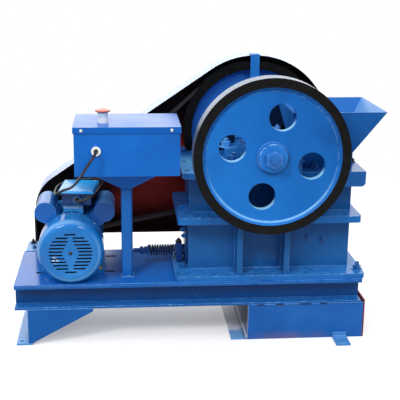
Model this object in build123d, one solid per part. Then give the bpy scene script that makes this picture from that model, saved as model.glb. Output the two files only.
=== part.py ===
from build123d import *
import os
from math import asin, atan2, cos, degrees, pi, radians, sin, sqrt, tan

# Laboratory jaw crusher on a channel frame, with its motor, belt drive and control box.
# Working axes: X from the motor end to the crusher end, Y from the operator's side to the
# belt guard, Z up from the floor. Every solid moves to the part's own origin at the end.

# Frame
rail_length = 925.0
rail_height = 63.0
rail_width = 40.0
rail_web = 5.0
rail_flange = 6.0
rail_under = 100.0
frame_width = 280.0
deck_thick = 5.0
deck_top = rail_under + rail_height + deck_thick
mid_y = frame_width / 2
cross_thick = 6.0
cross_inset = 2.0
cross_reach = 25.0
slot_width = 11.0
slot_start = 50.0
slot_end = 265.0

# Left leg
foot_start = 1.0
foot_width = 42.0
foot_thick = 5.0
foot_hole = 12.0
foot_hole_inset = 16.0
foot_hole_reach = 13.0
gusset_thick = 8.0
gusset_overlap = 10.0
gusset_reach = 204.0
gusset_lip = 8.0

# Discharge chute under the crusher
chute_overhang = 7.0
chute_length = 315.0
chute_wall = 5.0
chute_sheet = 3.0
apron_length = 44.0
chute_lip = 6.0
chute_lip_high = 4.0
chute_hole = 5.0
chute_hole_lead = 5.0
chute_hole_inset = 73.0
end_plate_thick = 4.0
end_plate_height = 107.0
lug_inset = 82.0
lug_width = 38.0
lug_reach = 57.0
lug_thick = 5.0
lug_upstand = 16.0
lug_hole = 12.0
lug_hole_reach = 34.0
lug_bend = 3.0

# Crusher body
body_start = 461.0
body_length = 437.0
body_width = 148.0
side_thick = 20.0
toggle_wall_thick = 15.0
jaw_wall_thick = 20.0
base_reach_left = 39.0
base_reach_right = 34.0
base_inset_side = 2.0
base_thick = 14.0
mid_reach_left = 33.0
mid_reach_right = 17.0
flange_reach_side = 61.0
mid_rise = 142.0
mid_thick = 18.0
top_reach_left = 23.0
top_reach_right = 21.0
top_rise = 121.0
top_thick = 16.0
top_bevel = 7.0
beam_length = 129.0
beam_height = 40.0
beam_corner = 9.0
flange_corner = 12.0
window_length = 303.0
rib_thick = 14.0
rib_reach = [305.0, 179.0]
rib_setback = 5.0

# Crank line
crank_reach = 237.0
crank_rise = 53.0
wheel_radius = 200.0
wheel_width = 54.0
wheel_gap = 71.0
rim_depth = 23.0
rim_cone = 10.0
web_thick = 20.0
web_recess = 9.0
hub_radius = 37.0
hub_draft = 2.0
hub_overhang = 4.0
wheel_holes = 4
wheel_hole_radius = 35.0
wheel_hole_circle = 104.0
wheel_hole_angle = 77.0
journal_radius = 22.5
thread_radius = 13.5
spigot_flat = 19.0
spigot_length = 8.0
eccentric_radius = 28.0
eccentricity = 5.0
running_fit = 0.05
block_width = 64.0
block_gap = 60.0
block_half = 90.0
block_foot = 20.0
block_radius = 50.0
block_flare = 8.0
block_bevel = 4.0
cap_trim = 3.0
cap_lug = 12.0
cap_lug_thick = 14.0
nut_flat = 40.0
front_nut_high = 23.0
rear_nut_high = 8.0
thread_proud = 2.0
washer_radius = 32.0
washer_thick = 4.0

# Jaws
jaw_width = 96.0
jaw_plate_thick = 16.0
tooth_depth = 6.0
tooth_count = 8
chamber_foot_rise = 23.0
chamber_top_drop = 8.0
gape = 62.0
closed_gap = 12.0
cheek_thick = 4.0
cheek_drop = 12.0
cheek_reach_top = 65.0
cheek_reach_foot = 30.0
swing_clear = 1.0
pitman_radius = 50.0
jaw_foot_depth = 32.0
jaw_waist_x = 40.0
jaw_waist_drop = 86.0
jaw_heel_x = 39.0
jaw_heel_drop = 30.0
jaw_neck_x = 36.0
jaw_neck_rise = 34.0
toggle_thick = 14.0
toggle_setback = 42.0
toggle_jaw_rise = 33.0
toggle_seat_rise = 75.0
toggle_cover = 22.0
seat_block = 24.0
seat_half = 24.0
seat_clear = 0.3
adjuster_reach = 26.0
adjuster_width = 100.0
adjuster_high = 12.0

# Tension rod
rod_radius = 6.0
rod_rise = 31.0
rod_reach = 148.0
rod_hole = 8.0
rod_nut_radius = 11.0
rod_nut_long = 10.0
rod_nut_gap = 2.0
spring_radius = 14.0
spring_wire = 4.0
spring_length = 72.0
spring_turns = 9
spring_steps = 16
spring_washer = 3.0
yoke_gap = 14.0
yoke_length = 16.0
yoke_width = 40.0
yoke_clear = 4.0
yoke_high = 49.0
sleeve_radius = 15.0
bracket_plate = 6.0
bracket_plate_width = 76.0
bracket_plate_high = 94.0

# Feed hopper
neck_inset = 2.0
neck_gap = 2.0
neck_depth = 148.0
neck_high = 37.0
hopper_high = 117.0
hopper_length = 246.0
hopper_depth = 250.0
hopper_overhang = 72.0
hopper_sheet = 3.0

# Motor
motor_x = 149.5
motor_height = 87.5
motor_z = deck_top + motor_height
cover_radius = 86.5
cover_length = 85.0
cover_sheet = 2.0
cover_round = 22.0
cover_ring_width = 6.0
cover_hole = 5.0
grille_rows = 12
grille_pitch = 9.3
grille_slot = 4.5
grille_radius = 56.0
grille_half_gap = 22.5
grille_gap_slope = 0.47
grille_least_gap = 6.5
grille_end_slot = 14.6
stator_length = 168.0
stator_radius = 74.0
fin_height = 7.0
fin_root = 4.0
fin_thick = 4.0
fin_count = 24
shield_length = 14.0
shield_step = 6.0
shield_hub = 38.0
shield_hub_length = 17.0
shoulder_gap = 15.0
shoulder_recess = 3.0
motor_shaft_radius = 12.0
motor_foot_spread = 140.0
motor_foot_lip = 15.0
motor_foot_pitch = 125.0
motor_foot_lead = 80.5
motor_foot_pad = 34.0
motor_foot_thick = 11.0
foot_web_thick = 14.0
foot_web_inset = 18.0
foot_web_shoulder = 52.0
foot_web_drop = 54.0
fan_radius = 70.0
fan_width = 22.0
fan_blades = 6
fan_blade_thick = 3.0
fan_hub_radius = 24.0
fan_setback = 30.0
terminal_x = 168.0
terminal_lead = 70.0
terminal_turn = -5.0
terminal_rise = 141.5
terminal_width = 100.0
terminal_depth = 132.0
terminal_lid = 10.0
terminal_bevel = 5.0
terminal_body = 78.0
terminal_setback = 12.0
terminal_body_high = 30.0
terminal_neck = 52.0
terminal_neck_shift = -10.0
terminal_neck_setback = 20.0
terminal_neck_foot = 40.0
saddle_clear = 0.3
capacitor_radius = 28.0
capacitor_lap = 10.0
capacitor_length = 118.0
capacitor_leg = 20.0
capacitor_root = 60.0
capacitor_left = (-67.0, 89.0)
capacitor_right = (87.0, 89.0)
gland_radius = 11.0
gland_length = 14.0
gland_drop = 11.5
gland_shift = 3.0

# Belt drive
pulley_radius = 46.0
pulley_width = 36.0
belt_count = 2
belt_pitch = 16.0
belt_top = 12.0
belt_foot = 7.0
belt_high = 8.0
belt_below_rim = 2.0
belt_clear = 0.35

# Belt guard
guard_lead = 7.0
guard_behind = 8.0
guard_sheet = 2.0
guard_left = 38.0
guard_bottom = 202.0
guard_step_start = 190.0
guard_step_end = 232.0
guard_corner_x = 520.0
guard_corner_z = 221.0
guard_small_radius = 110.0
guard_small_z = 295.0
guard_clear = 17.0
guard_bracket_start = 5.0
guard_bracket_width = 45.0
guard_bracket_sheet = 5.0
guard_bracket_ledge = 7.0
guard_leg_width = 25.0
guard_leg_thick = 4.0
guard_leg_high = 97.0
stay_width = 25.0
stay_thick = 4.0
stay_offset = -2.5
stay_gap = 4.0
stay_foot = 34.0
stay_lap = 24.0

# Control post and box
post_shift = -2.5
post_y = 65.0
post_size = 30.0
post_wall = 2.5
post_corner = 4.0
post_height = 246.0
head_height = 50.0
head_width = 212.0
head_depth = 60.0
head_sheet = 3.0
box_gap = 30.0
box_y = 70.0
box_width = 265.0
box_depth = 188.0
box_height = 126.0
box_sheet = 2.0
lid_skirt = 16.0
lid_proud = 2.5
lid_fit = 0.3
button_shift = -60.5
button_y = 41.0
button_radius = 20.0
button_lift = 26.5
button_flare = 2.5
button_edge = 3.5
button_rim = 2.0
button_dome = 5.0
skirt_radius = 13.0
skirt_lift = 12.5
stem_radius = 8.0
stem_below = 6.0
stem_clear = 0.3
collar_radius = 14.5
collar_high = 14.0
collar_floor = 6.0
button_hole = 11.0
grommet_shift = -77.5
grommet_rise = 66.0
grommet_radius = 12.0
grommet_wall = 3.0
grommet_proud = 6.0
lead_radius = 3.5
lead_nose = 20.0

# Derived places along the rails
body_end = body_start + body_length
chamber_left = body_start + toggle_wall_thick
chamber_right = body_end - jaw_wall_thick
crank_x = body_end - crank_reach
chute_end = rail_length + chute_overhang
chute_start = chute_end - chute_length
lug_start = chute_end - lug_inset
neck_right = body_end - neck_inset
neck_left = crank_x + block_half + neck_gap
hopper_right = neck_right + hopper_overhang
hopper_left = hopper_right - hopper_length
box_x = crank_x - wheel_radius - box_gap - box_width / 2
post_x = box_x + post_shift
button_x = box_x + button_shift
grommet_x = box_x + grommet_shift

# Derived places across the machine
body_front = mid_y - body_width / 2
body_rear = mid_y + body_width / 2
bore_front = body_front + side_thick
bore_rear = body_rear - side_thick
front_face = body_front - wheel_gap - wheel_width
rear_face = 2 * mid_y - front_face
wheel_mid = rear_face - wheel_width / 2
hub_front = front_face - hub_overhang
hub_rear = rear_face + hub_overhang
thread_front = hub_front - front_nut_high - thread_proud
shaft_front = thread_front - spigot_length
shaft_rear = hub_rear + washer_thick + rear_nut_high + thread_proud
pulley_y0 = wheel_mid - pulley_width / 2
pulley_y1 = wheel_mid + pulley_width / 2
shoulder = pulley_y0 - shoulder_gap
shield_end = shoulder - shield_hub_length
stator_end = shield_end - shield_length
cover_end = stator_end - stator_length
cover_front = cover_end - cover_length
motor_mid_y = cover_end + motor_foot_lead
terminal_y = cover_end + terminal_lead
capacitor_start = cover_end - capacitor_lap
guard_front = rear_face - wheel_width - guard_lead
guard_rear = shaft_rear + guard_behind
guard_bracket_rear = guard_rear + guard_bracket_ledge

# Derived heights
base_top = deck_top + base_thick
mid_under = base_top + mid_rise
mid_top = mid_under + mid_thick
top_face = mid_top + top_rise
top_under = top_face - top_thick
crank_z = top_face + crank_rise
chamber_foot = base_top + chamber_foot_rise
chamber_top = top_face - chamber_top_drop
toggle_jaw_z = chamber_foot + toggle_jaw_rise
toggle_seat_z = chamber_foot + toggle_seat_rise
rod_z = base_top + rod_rise
hopper_waist = top_face + neck_high
hopper_top = hopper_waist + hopper_high
terminal_top = motor_z + terminal_rise
post_top = deck_top + post_height
box_under = post_top + head_height
lid_top = box_under + box_height

origin_x = hopper_right / 2
origin_y = (shaft_front + guard_bracket_rear) / 2


def block(x0, x1, y0, y1, z0, z1):
    centre = Pos((x0 + x1) / 2, (y0 + y1) / 2, (z0 + z1) / 2)
    return centre * Box(x1 - x0, y1 - y0, z1 - z0)


def across(x, z, radius, y0, y1):
    return Pos(x, (y0 + y1) / 2, z) * Rot(90, 0, 0) * Cylinder(radius, y1 - y0)


def upright(x, y, radius, z0, z1):
    return Pos(x, y, (z0 + z1) / 2) * Cylinder(radius, z1 - z0)


def along(y, z, radius, x0, x1):
    return Pos((x0 + x1) / 2, y, z) * Rot(0, 90, 0) * Cylinder(radius, x1 - x0)


def side_profile(points, y0, y1):
    face = make_face(Polyline(*points, close=True))
    return extrude(Plane.XZ.offset(-y1) * face, y1 - y0)


def end_profile(points, x0, x1):
    face = make_face(Polyline(*points, close=True))
    return extrude(Plane.YZ.offset(x0) * face, x1 - x0)


def turned(points, x, z):
    face = make_face(Polyline(*points, close=True))
    return Pos(x, 0, z) * revolve(face, Axis.Y)


def rounded_plate(x0, x1, y0, y1, z0, z1, radius):
    plate = block(x0, x1, y0, y1, z0, z1)
    return fillet(plate.edges().filter_by(Axis.Z), radius)


def mirrored(solid):
    return mirror(solid, Plane.XZ.offset(-mid_y))


nodes = {}


# Frame rails, toes outward
def rail():
    web_back = rail_width
    web_front = rail_width - rail_web
    rail_top = rail_under + rail_height
    points = [
        (0, rail_under),
        (web_back, rail_under),
        (web_back, rail_top),
        (0, rail_top),
        (0, rail_top - rail_flange),
        (web_front, rail_top - rail_flange),
        (web_front, rail_under + rail_flange),
        (0, rail_under + rail_flange),
    ]
    return end_profile(points, 0, rail_length)


front_rail = rail()
nodes["frame_rails"] = [front_rail, mirrored(front_rail)]

cross_places = [
    cross_inset,
    body_start - cross_reach,
    rail_length - cross_thick - cross_inset,
]
nodes["cross_members"] = [
    block(x, x + cross_thick, rail_width, frame_width - rail_width, rail_under, rail_under + rail_height)
    for x in cross_places
]

# Deck with the two motor slots and the window over the chute
rail_top = rail_under + rail_height
deck = block(0, rail_length, 0, frame_width, rail_top, deck_top)
motor_slot_y = [motor_mid_y - motor_foot_pitch / 2, motor_mid_y + motor_foot_pitch / 2]
for y in motor_slot_y:
    slot = SlotOverall(slot_end - slot_start, slot_width)
    deck -= Pos((slot_start + slot_end) / 2, y, rail_top) * extrude(slot, deck_thick)
deck -= block(chute_start, chamber_right, bore_front, bore_rear, rail_top, deck_top)
nodes["deck_plate"] = [deck]

# Left leg: a floor plate and two gussets under the rails
foot = block(foot_start, foot_start + foot_width, 0, frame_width, 0, foot_thick)
foot_hole_x = foot_start + foot_hole_reach
for y in (foot_hole_inset, frame_width - foot_hole_inset):
    foot -= upright(foot_hole_x, y, foot_hole / 2, 0, foot_thick)
gusset_start = foot_start + foot_width - gusset_overlap
gusset_points = [
    (gusset_start, foot_thick),
    (foot_start + foot_width, foot_thick),
    (gusset_reach, rail_under - gusset_lip),
    (gusset_reach, rail_under),
    (gusset_start, rail_under),
]
gusset = side_profile(gusset_points, 0, gusset_thick)
nodes["left_foot_plate"] = [foot]
nodes["leg_gussets"] = [gusset, mirrored(gusset)]

# Chute: a flat apron, a sloping floor whose edge laps the apron, two side walls and an end plate
chute_top = rail_under
lip_x = chute_start - chute_lip
lip_top = chute_sheet + chute_lip_high
rise = chute_top - chute_sheet
slope = atan2(rise - lip_top, chute_end - lip_x)
lift = chute_sheet / cos(slope)
apron = block(chute_start - apron_length, chute_start, 0, frame_width, 0, chute_sheet)
apron -= upright(
    lip_x - chute_hole_lead, frame_width - chute_hole_inset, chute_hole / 2, 0, chute_sheet,
)
slide_points = [
    (lip_x, 0),
    (chute_start, 0),
    (chute_end, rise - lift),
    (chute_end, rise),
    (lip_x, lip_top),
]
slide = side_profile(slide_points, chute_wall, frame_width - chute_wall)
nodes["discharge_chute"] = [apron + slide]
front_wall = block(chute_start, chute_end, 0, chute_wall, 0, chute_top)
nodes["chute_walls"] = [front_wall, mirrored(front_wall)]
nodes["chute_end_plate"] = [
    block(chute_end, chute_end + end_plate_thick, 0, frame_width, 0, end_plate_height)
]

# Anchor lugs bent up against the chute walls
lug_points = [
    (0, 0),
    (-lug_reach, 0),
    (-lug_reach, lug_thick),
    (-lug_thick - lug_bend, lug_thick),
    (-lug_thick, lug_thick + lug_bend),
    (-lug_thick, lug_upstand),
    (0, lug_upstand),
]
lug = end_profile(lug_points, lug_start, lug_start + lug_width)
lug -= upright(lug_start + lug_width / 2, -lug_hole_reach, lug_hole / 2, 0, lug_thick)
nodes["anchor_lugs"] = [lug, mirrored(lug)]

# Crusher body: base flange, side plates, end walls, ring flanges
base_start = body_start - base_reach_left
base_end = body_end + base_reach_right
base = rounded_plate(
    base_start, base_end, base_inset_side, frame_width - base_inset_side,
    deck_top, base_top, flange_corner,
)
base -= block(chamber_left, chamber_right, bore_front, bore_rear, deck_top, base_top)
nodes["base_flange"] = [base]

side = block(body_start, body_end, body_front, bore_front, base_top, top_under)
nodes["side_plates"] = [side, mirrored(side)]

toggle_wall = block(body_start, chamber_left, bore_front, bore_rear, base_top, top_under)
toggle_wall -= along(mid_y, rod_z, rod_hole, body_start, chamber_left)
jaw_wall = block(chamber_right, body_end, bore_front, bore_rear, base_top, top_under)
nodes["end_walls"] = [toggle_wall, jaw_wall]

flange_front = body_front - flange_reach_side
flange_rear = body_rear + flange_reach_side
mid_flange = rounded_plate(
    body_start - mid_reach_left, body_end + mid_reach_right, flange_front, flange_rear,
    mid_under, mid_top, flange_corner,
)
mid_flange -= block(body_start, body_end, body_front, body_rear, mid_under, mid_top)
nodes["mid_flange"] = [mid_flange]

top_start = body_start - top_reach_left
top_end = body_end + top_reach_right
beam_start = top_end - beam_length
beam_under = top_face - beam_height
top_points = [
    (top_start, top_face),
    (top_end, top_face),
    (top_end, beam_under + beam_corner),
    (top_end - beam_corner / 3, beam_under + beam_corner / 3),
    (top_end - beam_corner, beam_under),
    (beam_start, beam_under),
    (beam_start, top_under),
    (top_start + top_bevel, top_under),
    (top_start + top_bevel * 0.3, top_under + top_bevel * 0.4),
    (top_start, top_under + top_bevel),
]
top_flange = side_profile(top_points, flange_front, flange_rear)
window_start = chamber_right - window_length
top_flange -= block(window_start, chamber_right, bore_front, bore_rear, top_under, top_face)
top_flange -= block(beam_start, body_end, body_front, body_rear, beam_under, top_under)
nodes["top_flange"] = [top_flange]

ribs = []
for reach in rib_reach:
    x = body_end - reach
    for z0, z1 in ((base_top, mid_under), (mid_top, top_under)):
        rib = block(
            x - rib_thick / 2, x + rib_thick / 2, flange_front + rib_setback, body_front, z0, z1,
        )
        ribs += [rib, mirrored(rib)]
nodes["body_ribs"] = ribs

# Jaw plates with vertical teeth
plate_back = jaw_plate_thick - tooth_depth
tooth_pitch = jaw_width / tooth_count
chamber_height = chamber_top - chamber_foot


def toothed_plate():
    points = [(0, -jaw_width / 2)]
    for i in range(tooth_count):
        root = -jaw_width / 2 + i * tooth_pitch
        points.append((plate_back, root))
        points.append((jaw_plate_thick, root + tooth_pitch * 0.4))
        points.append((jaw_plate_thick, root + tooth_pitch * 0.6))
    points.append((plate_back, jaw_width / 2))
    points.append((0, jaw_width / 2))
    return make_face(Polyline(*points, close=True))


fixed_plate = Pos(chamber_right, mid_y, chamber_foot) * Rot(0, 0, 180)
fixed_plate *= extrude(toothed_plate(), chamber_height)
tip_x = chamber_right - jaw_plate_thick
swing_top_x = tip_x - gape
swing_foot_x = tip_x - closed_gap
lean = atan2(swing_foot_x - swing_top_x, chamber_height)
swing_length = chamber_height / cos(lean)
swing_plate = Pos(swing_foot_x, mid_y, chamber_foot) * Rot(0, -degrees(lean), 0)
swing_plate *= Pos(-jaw_plate_thick, 0, 0) * extrude(toothed_plate(), swing_length)
nodes["fixed_jaw_plate"] = [fixed_plate]
nodes["swing_jaw_plate"] = [swing_plate]

# Swing jaw hung on the eccentric
back_foot = (
    swing_foot_x - jaw_plate_thick * cos(lean),
    chamber_foot - jaw_plate_thick * sin(lean),
)
back_top = (
    back_foot[0] - swing_length * sin(lean),
    back_foot[1] + swing_length * cos(lean),
)
toggle_end_x = back_foot[0] - toggle_setback
jaw_heel = (back_foot[0] - jaw_foot_depth, back_foot[1])
jaw_knee = (toggle_end_x - toggle_thick / 4, toggle_jaw_z + toggle_cover)
jaw_points = [
    back_top,
    back_foot,
    jaw_heel,
    jaw_knee,
    (crank_x + jaw_waist_x, crank_z - jaw_waist_drop),
    (crank_x - jaw_heel_x, crank_z - jaw_heel_drop),
    (crank_x, crank_z),
    (crank_x + jaw_neck_x, crank_z + jaw_neck_rise),
    (back_top[0] - jaw_plate_thick / 3, back_top[1] + jaw_plate_thick),
]
jaw_y0 = mid_y - jaw_width / 2
jaw_y1 = mid_y + jaw_width / 2
swing_jaw = side_profile(jaw_points, jaw_y0, jaw_y1)
swing_jaw += across(crank_x, crank_z, pitman_radius, jaw_y0, jaw_y1)
pitman_bore = eccentric_radius + eccentricity + swing_clear
swing_jaw -= across(crank_x, crank_z, pitman_bore, jaw_y0, jaw_y1)
toggle_round = toggle_thick / 2
swing_jaw -= across(toggle_end_x, toggle_jaw_z, toggle_round + seat_clear, jaw_y0, jaw_y1)
nodes["swing_jaw"] = [swing_jaw]

# Toggle plate between its two seats
seat_x = chamber_left + seat_block
toggle_run = toggle_end_x - seat_x
toggle_drop = toggle_jaw_z - toggle_seat_z
toggle_length = sqrt(toggle_run ** 2 + toggle_drop ** 2)
toggle = extrude(SlotCenterToCenter(toggle_length, toggle_thick), jaw_width / 2, both=True)
toggle_tilt = degrees(atan2(toggle_drop, toggle_run))
toggle_mid = Pos((seat_x + toggle_end_x) / 2, mid_y, (toggle_seat_z + toggle_jaw_z) / 2)
toggle = toggle_mid * Rot(0, -toggle_tilt, 0) * Rot(90, 0, 0) * toggle
nodes["toggle_plate"] = [toggle]
seat = block(
    chamber_left, seat_x, bore_front, bore_rear, toggle_seat_z - seat_half, toggle_seat_z + seat_half,
)
seat -= across(seat_x, toggle_seat_z, toggle_round + seat_clear, bore_front, bore_rear)
adjuster = block(
    body_start - adjuster_reach, body_start, mid_y - adjuster_width / 2, mid_y + adjuster_width / 2,
    mid_top, mid_top + adjuster_high,
)
nodes["toggle_seats"] = [seat, adjuster]

# Cheek plates line the chamber sides
cheek_points = [
    (swing_top_x - cheek_reach_top, chamber_top - cheek_drop),
    (tip_x, chamber_top - cheek_drop),
    (tip_x, chamber_foot),
    (swing_foot_x - cheek_reach_foot, chamber_foot),
]
cheek = side_profile(cheek_points, bore_front, bore_front + cheek_thick)
nodes["cheek_plates"] = [cheek, mirrored(cheek)]

# Tension rod, its spring and the bracket it pulls against
yoke_end = body_start - yoke_gap
yoke_start = yoke_end - yoke_length
spring_end = yoke_start - spring_washer
spring_start = spring_end - spring_length
jaw_back_share = (rod_z - jaw_heel[1]) / (jaw_knee[1] - jaw_heel[1])
rod_end = jaw_heel[0] + jaw_back_share * (jaw_knee[0] - jaw_heel[0])
rod = along(mid_y, rod_z, rod_radius, body_start - rod_reach, rod_end)
rod -= swing_jaw
rod_washer_x = spring_start - spring_washer
nut_hex = extrude(RegularPolygon(rod_nut_radius, 6), rod_nut_long)
for x in (rod_washer_x - rod_nut_long, rod_washer_x - rod_nut_gap - 2 * rod_nut_long):
    rod += Pos(x, mid_y, rod_z) * Rot(0, 90, 0) * nut_hex
rod += along(mid_y, rod_z, spring_radius + spring_wire / 2, rod_washer_x, spring_start)
nodes["tension_rod"] = [rod]

coil_points = []
for i in range(int((spring_turns + 0.5) * spring_steps) + 1):
    turn = 2 * pi * i / spring_steps
    coil_x = spring_start + spring_wire / 2
    coil_x += (spring_length - spring_wire) * turn / (2 * pi * (spring_turns + 0.5))
    coil_points.append((coil_x, mid_y + spring_radius * cos(turn), rod_z + spring_radius * sin(turn)))
coil_path = Polyline(*coil_points)
coil_start = Plane(origin=coil_path @ 0, z_dir=coil_path % 0)
coil_wire = coil_start * RegularPolygon(spring_wire / 2, 8)
spring = sweep(coil_wire, path=coil_path, transition=Transition.RIGHT)
nodes["tension_spring"] = [spring]

yoke_y0 = mid_y - yoke_width / 2
yoke_y1 = mid_y + yoke_width / 2
yoke_under = base_top + yoke_clear
spring_seat = block(yoke_start, yoke_end, yoke_y0, yoke_y1, yoke_under, yoke_under + yoke_high)
plate_half = bracket_plate_width / 2
spring_seat += block(
    body_start - bracket_plate, body_start, mid_y - plate_half, mid_y + plate_half,
    base_top, base_top + bracket_plate_high,
)
spring_seat += along(mid_y, rod_z, sleeve_radius, yoke_end, body_start - bracket_plate)
spring_seat += along(mid_y, rod_z, spring_radius + spring_wire / 2, spring_end, yoke_start)
spring_seat -= along(mid_y, rod_z, rod_hole, spring_end, body_start)
nodes["spring_bracket"] = [spring_seat]

# Pillow blocks and caps, split on the crank line
block_front = mid_y - block_gap - block_width
block_inner = block_front + block_width
pillow_points = [
    (crank_x - block_half, top_face),
    (crank_x + block_half, top_face),
    (crank_x + block_half, top_face + block_foot),
    (crank_x + block_radius + block_flare, top_face + block_foot + block_bevel),
    (crank_x + block_radius, crank_z),
    (crank_x - block_radius, crank_z),
    (crank_x - block_radius - block_flare, top_face + block_foot + block_bevel),
    (crank_x - block_half, top_face + block_foot),
]
pillow = side_profile(pillow_points, block_front, block_inner)
pillow -= across(crank_x, crank_z, journal_radius + running_fit, block_front, block_inner)
cap = across(crank_x, crank_z, block_radius, block_front, block_inner)
cap += block(
    crank_x - block_radius - cap_lug, crank_x + block_radius + cap_lug, block_front, block_inner,
    crank_z, crank_z + cap_lug_thick,
)
cap -= block(
    crank_x - block_half, crank_x + block_half, block_front, block_inner,
    crank_z - block_radius, crank_z,
)
cap -= across(crank_x, crank_z, journal_radius + running_fit, block_front, block_inner)
cap_flat = crank_z + block_radius - cap_trim
cap -= block(
    crank_x - block_half, crank_x + block_half, block_front, block_inner,
    cap_flat, crank_z + block_radius,
)
nodes["bearing_blocks"] = [pillow, mirrored(pillow)]
nodes["bearing_caps"] = [cap, mirrored(cap)]

# Crankshaft with its eccentric, its threaded ends and the hexagon spigot in front
crank = across(crank_x, crank_z, journal_radius, hub_front, hub_rear)
crank += across(crank_x + eccentricity, crank_z, eccentric_radius, jaw_y0, jaw_y1)
crank += across(crank_x, crank_z, thread_radius, thread_front, hub_front)
crank += across(crank_x, crank_z, thread_radius, hub_rear, shaft_rear)
spigot = extrude(RegularPolygon(spigot_flat / 2, 6, major_radius=False), spigot_length)
crank += Pos(crank_x, thread_front, crank_z) * Rot(90, 0, 0) * Rot(0, 0, 90) * spigot
nodes["eccentric_shaft"] = [crank]


# Flywheels: a plain one in front, a grooved one for the belts behind
def groove_points(rim, centre):
    mouth = belt_top / 2 + belt_clear
    foot = belt_foot / 2 + belt_clear
    deep = belt_below_rim + belt_high + belt_clear
    widen = (mouth - foot) * belt_below_rim / belt_high
    return [
        (rim, centre - mouth - widen),
        (rim - deep, centre - foot),
        (rim - deep, centre + foot),
        (rim, centre + mouth + widen),
    ]


def flywheel(face, away, grooves):
    inner = wheel_radius - rim_depth
    sign = 1 if away > face else -1
    web_a = face + sign * web_recess
    web_b = web_a + sign * web_thick
    rim_back = face + sign * wheel_width
    points = [
        (journal_radius, face - sign * hub_overhang),
        (hub_radius, face - sign * hub_overhang),
        (hub_radius + hub_draft, web_a),
        (inner - rim_cone, web_a),
        (inner, face),
        (wheel_radius, face),
    ]
    for centre in sorted(grooves, reverse=sign < 0):
        cut = groove_points(wheel_radius, centre)
        points += cut if sign > 0 else list(reversed(cut))
    points += [
        (wheel_radius, rim_back),
        (inner, rim_back),
        (inner - rim_cone, web_b),
        (hub_radius + hub_draft, web_b),
        (hub_radius, rim_back + sign * hub_overhang),
        (journal_radius, rim_back + sign * hub_overhang),
    ]
    wheel = turned(points, crank_x, crank_z)
    for i in range(wheel_holes):
        angle = radians(wheel_hole_angle + i * 360 / wheel_holes)
        hole_x = crank_x + wheel_hole_circle * cos(angle)
        hole_z = crank_z + wheel_hole_circle * sin(angle)
        wheel -= across(hole_x, hole_z, wheel_hole_radius, min(web_a, web_b), max(web_a, web_b))
    return wheel


belt_y = [wheel_mid + (i - (belt_count - 1) / 2) * belt_pitch for i in range(belt_count)]
nodes["front_flywheel"] = [flywheel(front_face, front_face + 1, [])]
nodes["rear_flywheel"] = [flywheel(rear_face, rear_face - 1, belt_y)]


# Nuts that hold the wheels on the shaft: a tall one in front, a thin one on a washer behind
def shaft_nut(y_rear, high):
    hexagon = extrude(RegularPolygon(nut_flat / 2, 6, major_radius=False), high)
    solid = Pos(crank_x, y_rear, crank_z) * Rot(90, 0, 0) * Rot(0, 0, 90) * hexagon
    crown = nut_flat / 2 * 2 / sqrt(3)
    bevel = crown - nut_flat / 2
    cone_points = [
        (0, y_rear - high),
        (nut_flat / 2, y_rear - high),
        (crown, y_rear - high + bevel / 2),
        (crown, y_rear),
        (0, y_rear),
    ]
    solid &= turned(cone_points, crank_x, crank_z)
    return solid - across(crank_x, crank_z, thread_radius, y_rear - high, y_rear)


washer_end = hub_rear + washer_thick
washer = across(crank_x, crank_z, washer_radius, hub_rear, washer_end)
washer -= across(crank_x, crank_z, thread_radius, hub_rear, washer_end)
rear_nut = shaft_nut(washer_end + rear_nut_high, rear_nut_high)
nodes["shaft_nuts"] = [shaft_nut(hub_front, front_nut_high), washer + rear_nut]

# Feed hopper: a square funnel with a straight neck
hopper_mid_x = (hopper_left + hopper_right) / 2
neck_mid_x = (neck_left + neck_right) / 2


def funnel(inset):
    top = Pos(hopper_mid_x, mid_y, hopper_top) * Rectangle(
        hopper_right - hopper_left - 2 * inset, hopper_depth - 2 * inset)
    waist = Pos(neck_mid_x, mid_y, hopper_waist) * Rectangle(
        neck_right - neck_left - 2 * inset, neck_depth - 2 * inset)
    neck = block(
        neck_left + inset, neck_right - inset, mid_y - neck_depth / 2 + inset,
        mid_y + neck_depth / 2 - inset, top_face, hopper_waist,
    )
    return loft([waist.face(), top.face()], ruled=True) + neck


hopper = funnel(0) - funnel(hopper_sheet)
hopper -= block(
    neck_left, neck_left + hopper_sheet, bore_front, bore_rear, top_face, hopper_waist,
)
nodes["feed_hopper"] = [hopper]

# Motor body with cooling fins, end shield and cast feet
stator_profile = Circle(stator_radius)
for i in range(fin_count):
    angle = i * 360 / fin_count
    fin = Rectangle(fin_height + fin_root, fin_thick)
    stator_profile += Rot(0, 0, angle) * Pos(stator_radius + (fin_height - fin_root) / 2, 0) * fin
stator = extrude(stator_profile, stator_end - cover_end)
stator = Pos(motor_x, stator_end, motor_z) * Rot(90, 0, 0) * stator
shield_points = [
    (0, stator_end),
    (stator_radius + fin_height, stator_end),
    (stator_radius + fin_height, stator_end + shield_step),
    (stator_radius - shield_step, shield_end),
    (shield_hub, shield_end),
    (shield_hub - shoulder_recess, shoulder - shoulder_recess),
    (0, shoulder - shoulder_recess),
]
motor_body = stator + turned(shield_points, motor_x, motor_z)
foot_y0 = motor_slot_y[0] - motor_foot_pad / 2
foot_y1 = motor_slot_y[1] + motor_foot_pad / 2
foot_half = motor_foot_spread / 2 + motor_foot_lip
foot_top = deck_top + motor_foot_thick
motor_feet = block(
    motor_x - foot_half, motor_x + foot_half, foot_y0, foot_y1, deck_top, foot_top,
)
foot_web_points = [
    (motor_x - foot_half + foot_web_inset, foot_top),
    (motor_x + foot_half - foot_web_inset, foot_top),
    (motor_x + foot_web_shoulder, motor_z - foot_web_drop),
    (motor_x - foot_web_shoulder, motor_z - foot_web_drop),
]
for y in motor_slot_y:
    motor_feet += side_profile(foot_web_points, y - foot_web_thick / 2, y + foot_web_thick / 2)
motor_body += motor_feet
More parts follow.
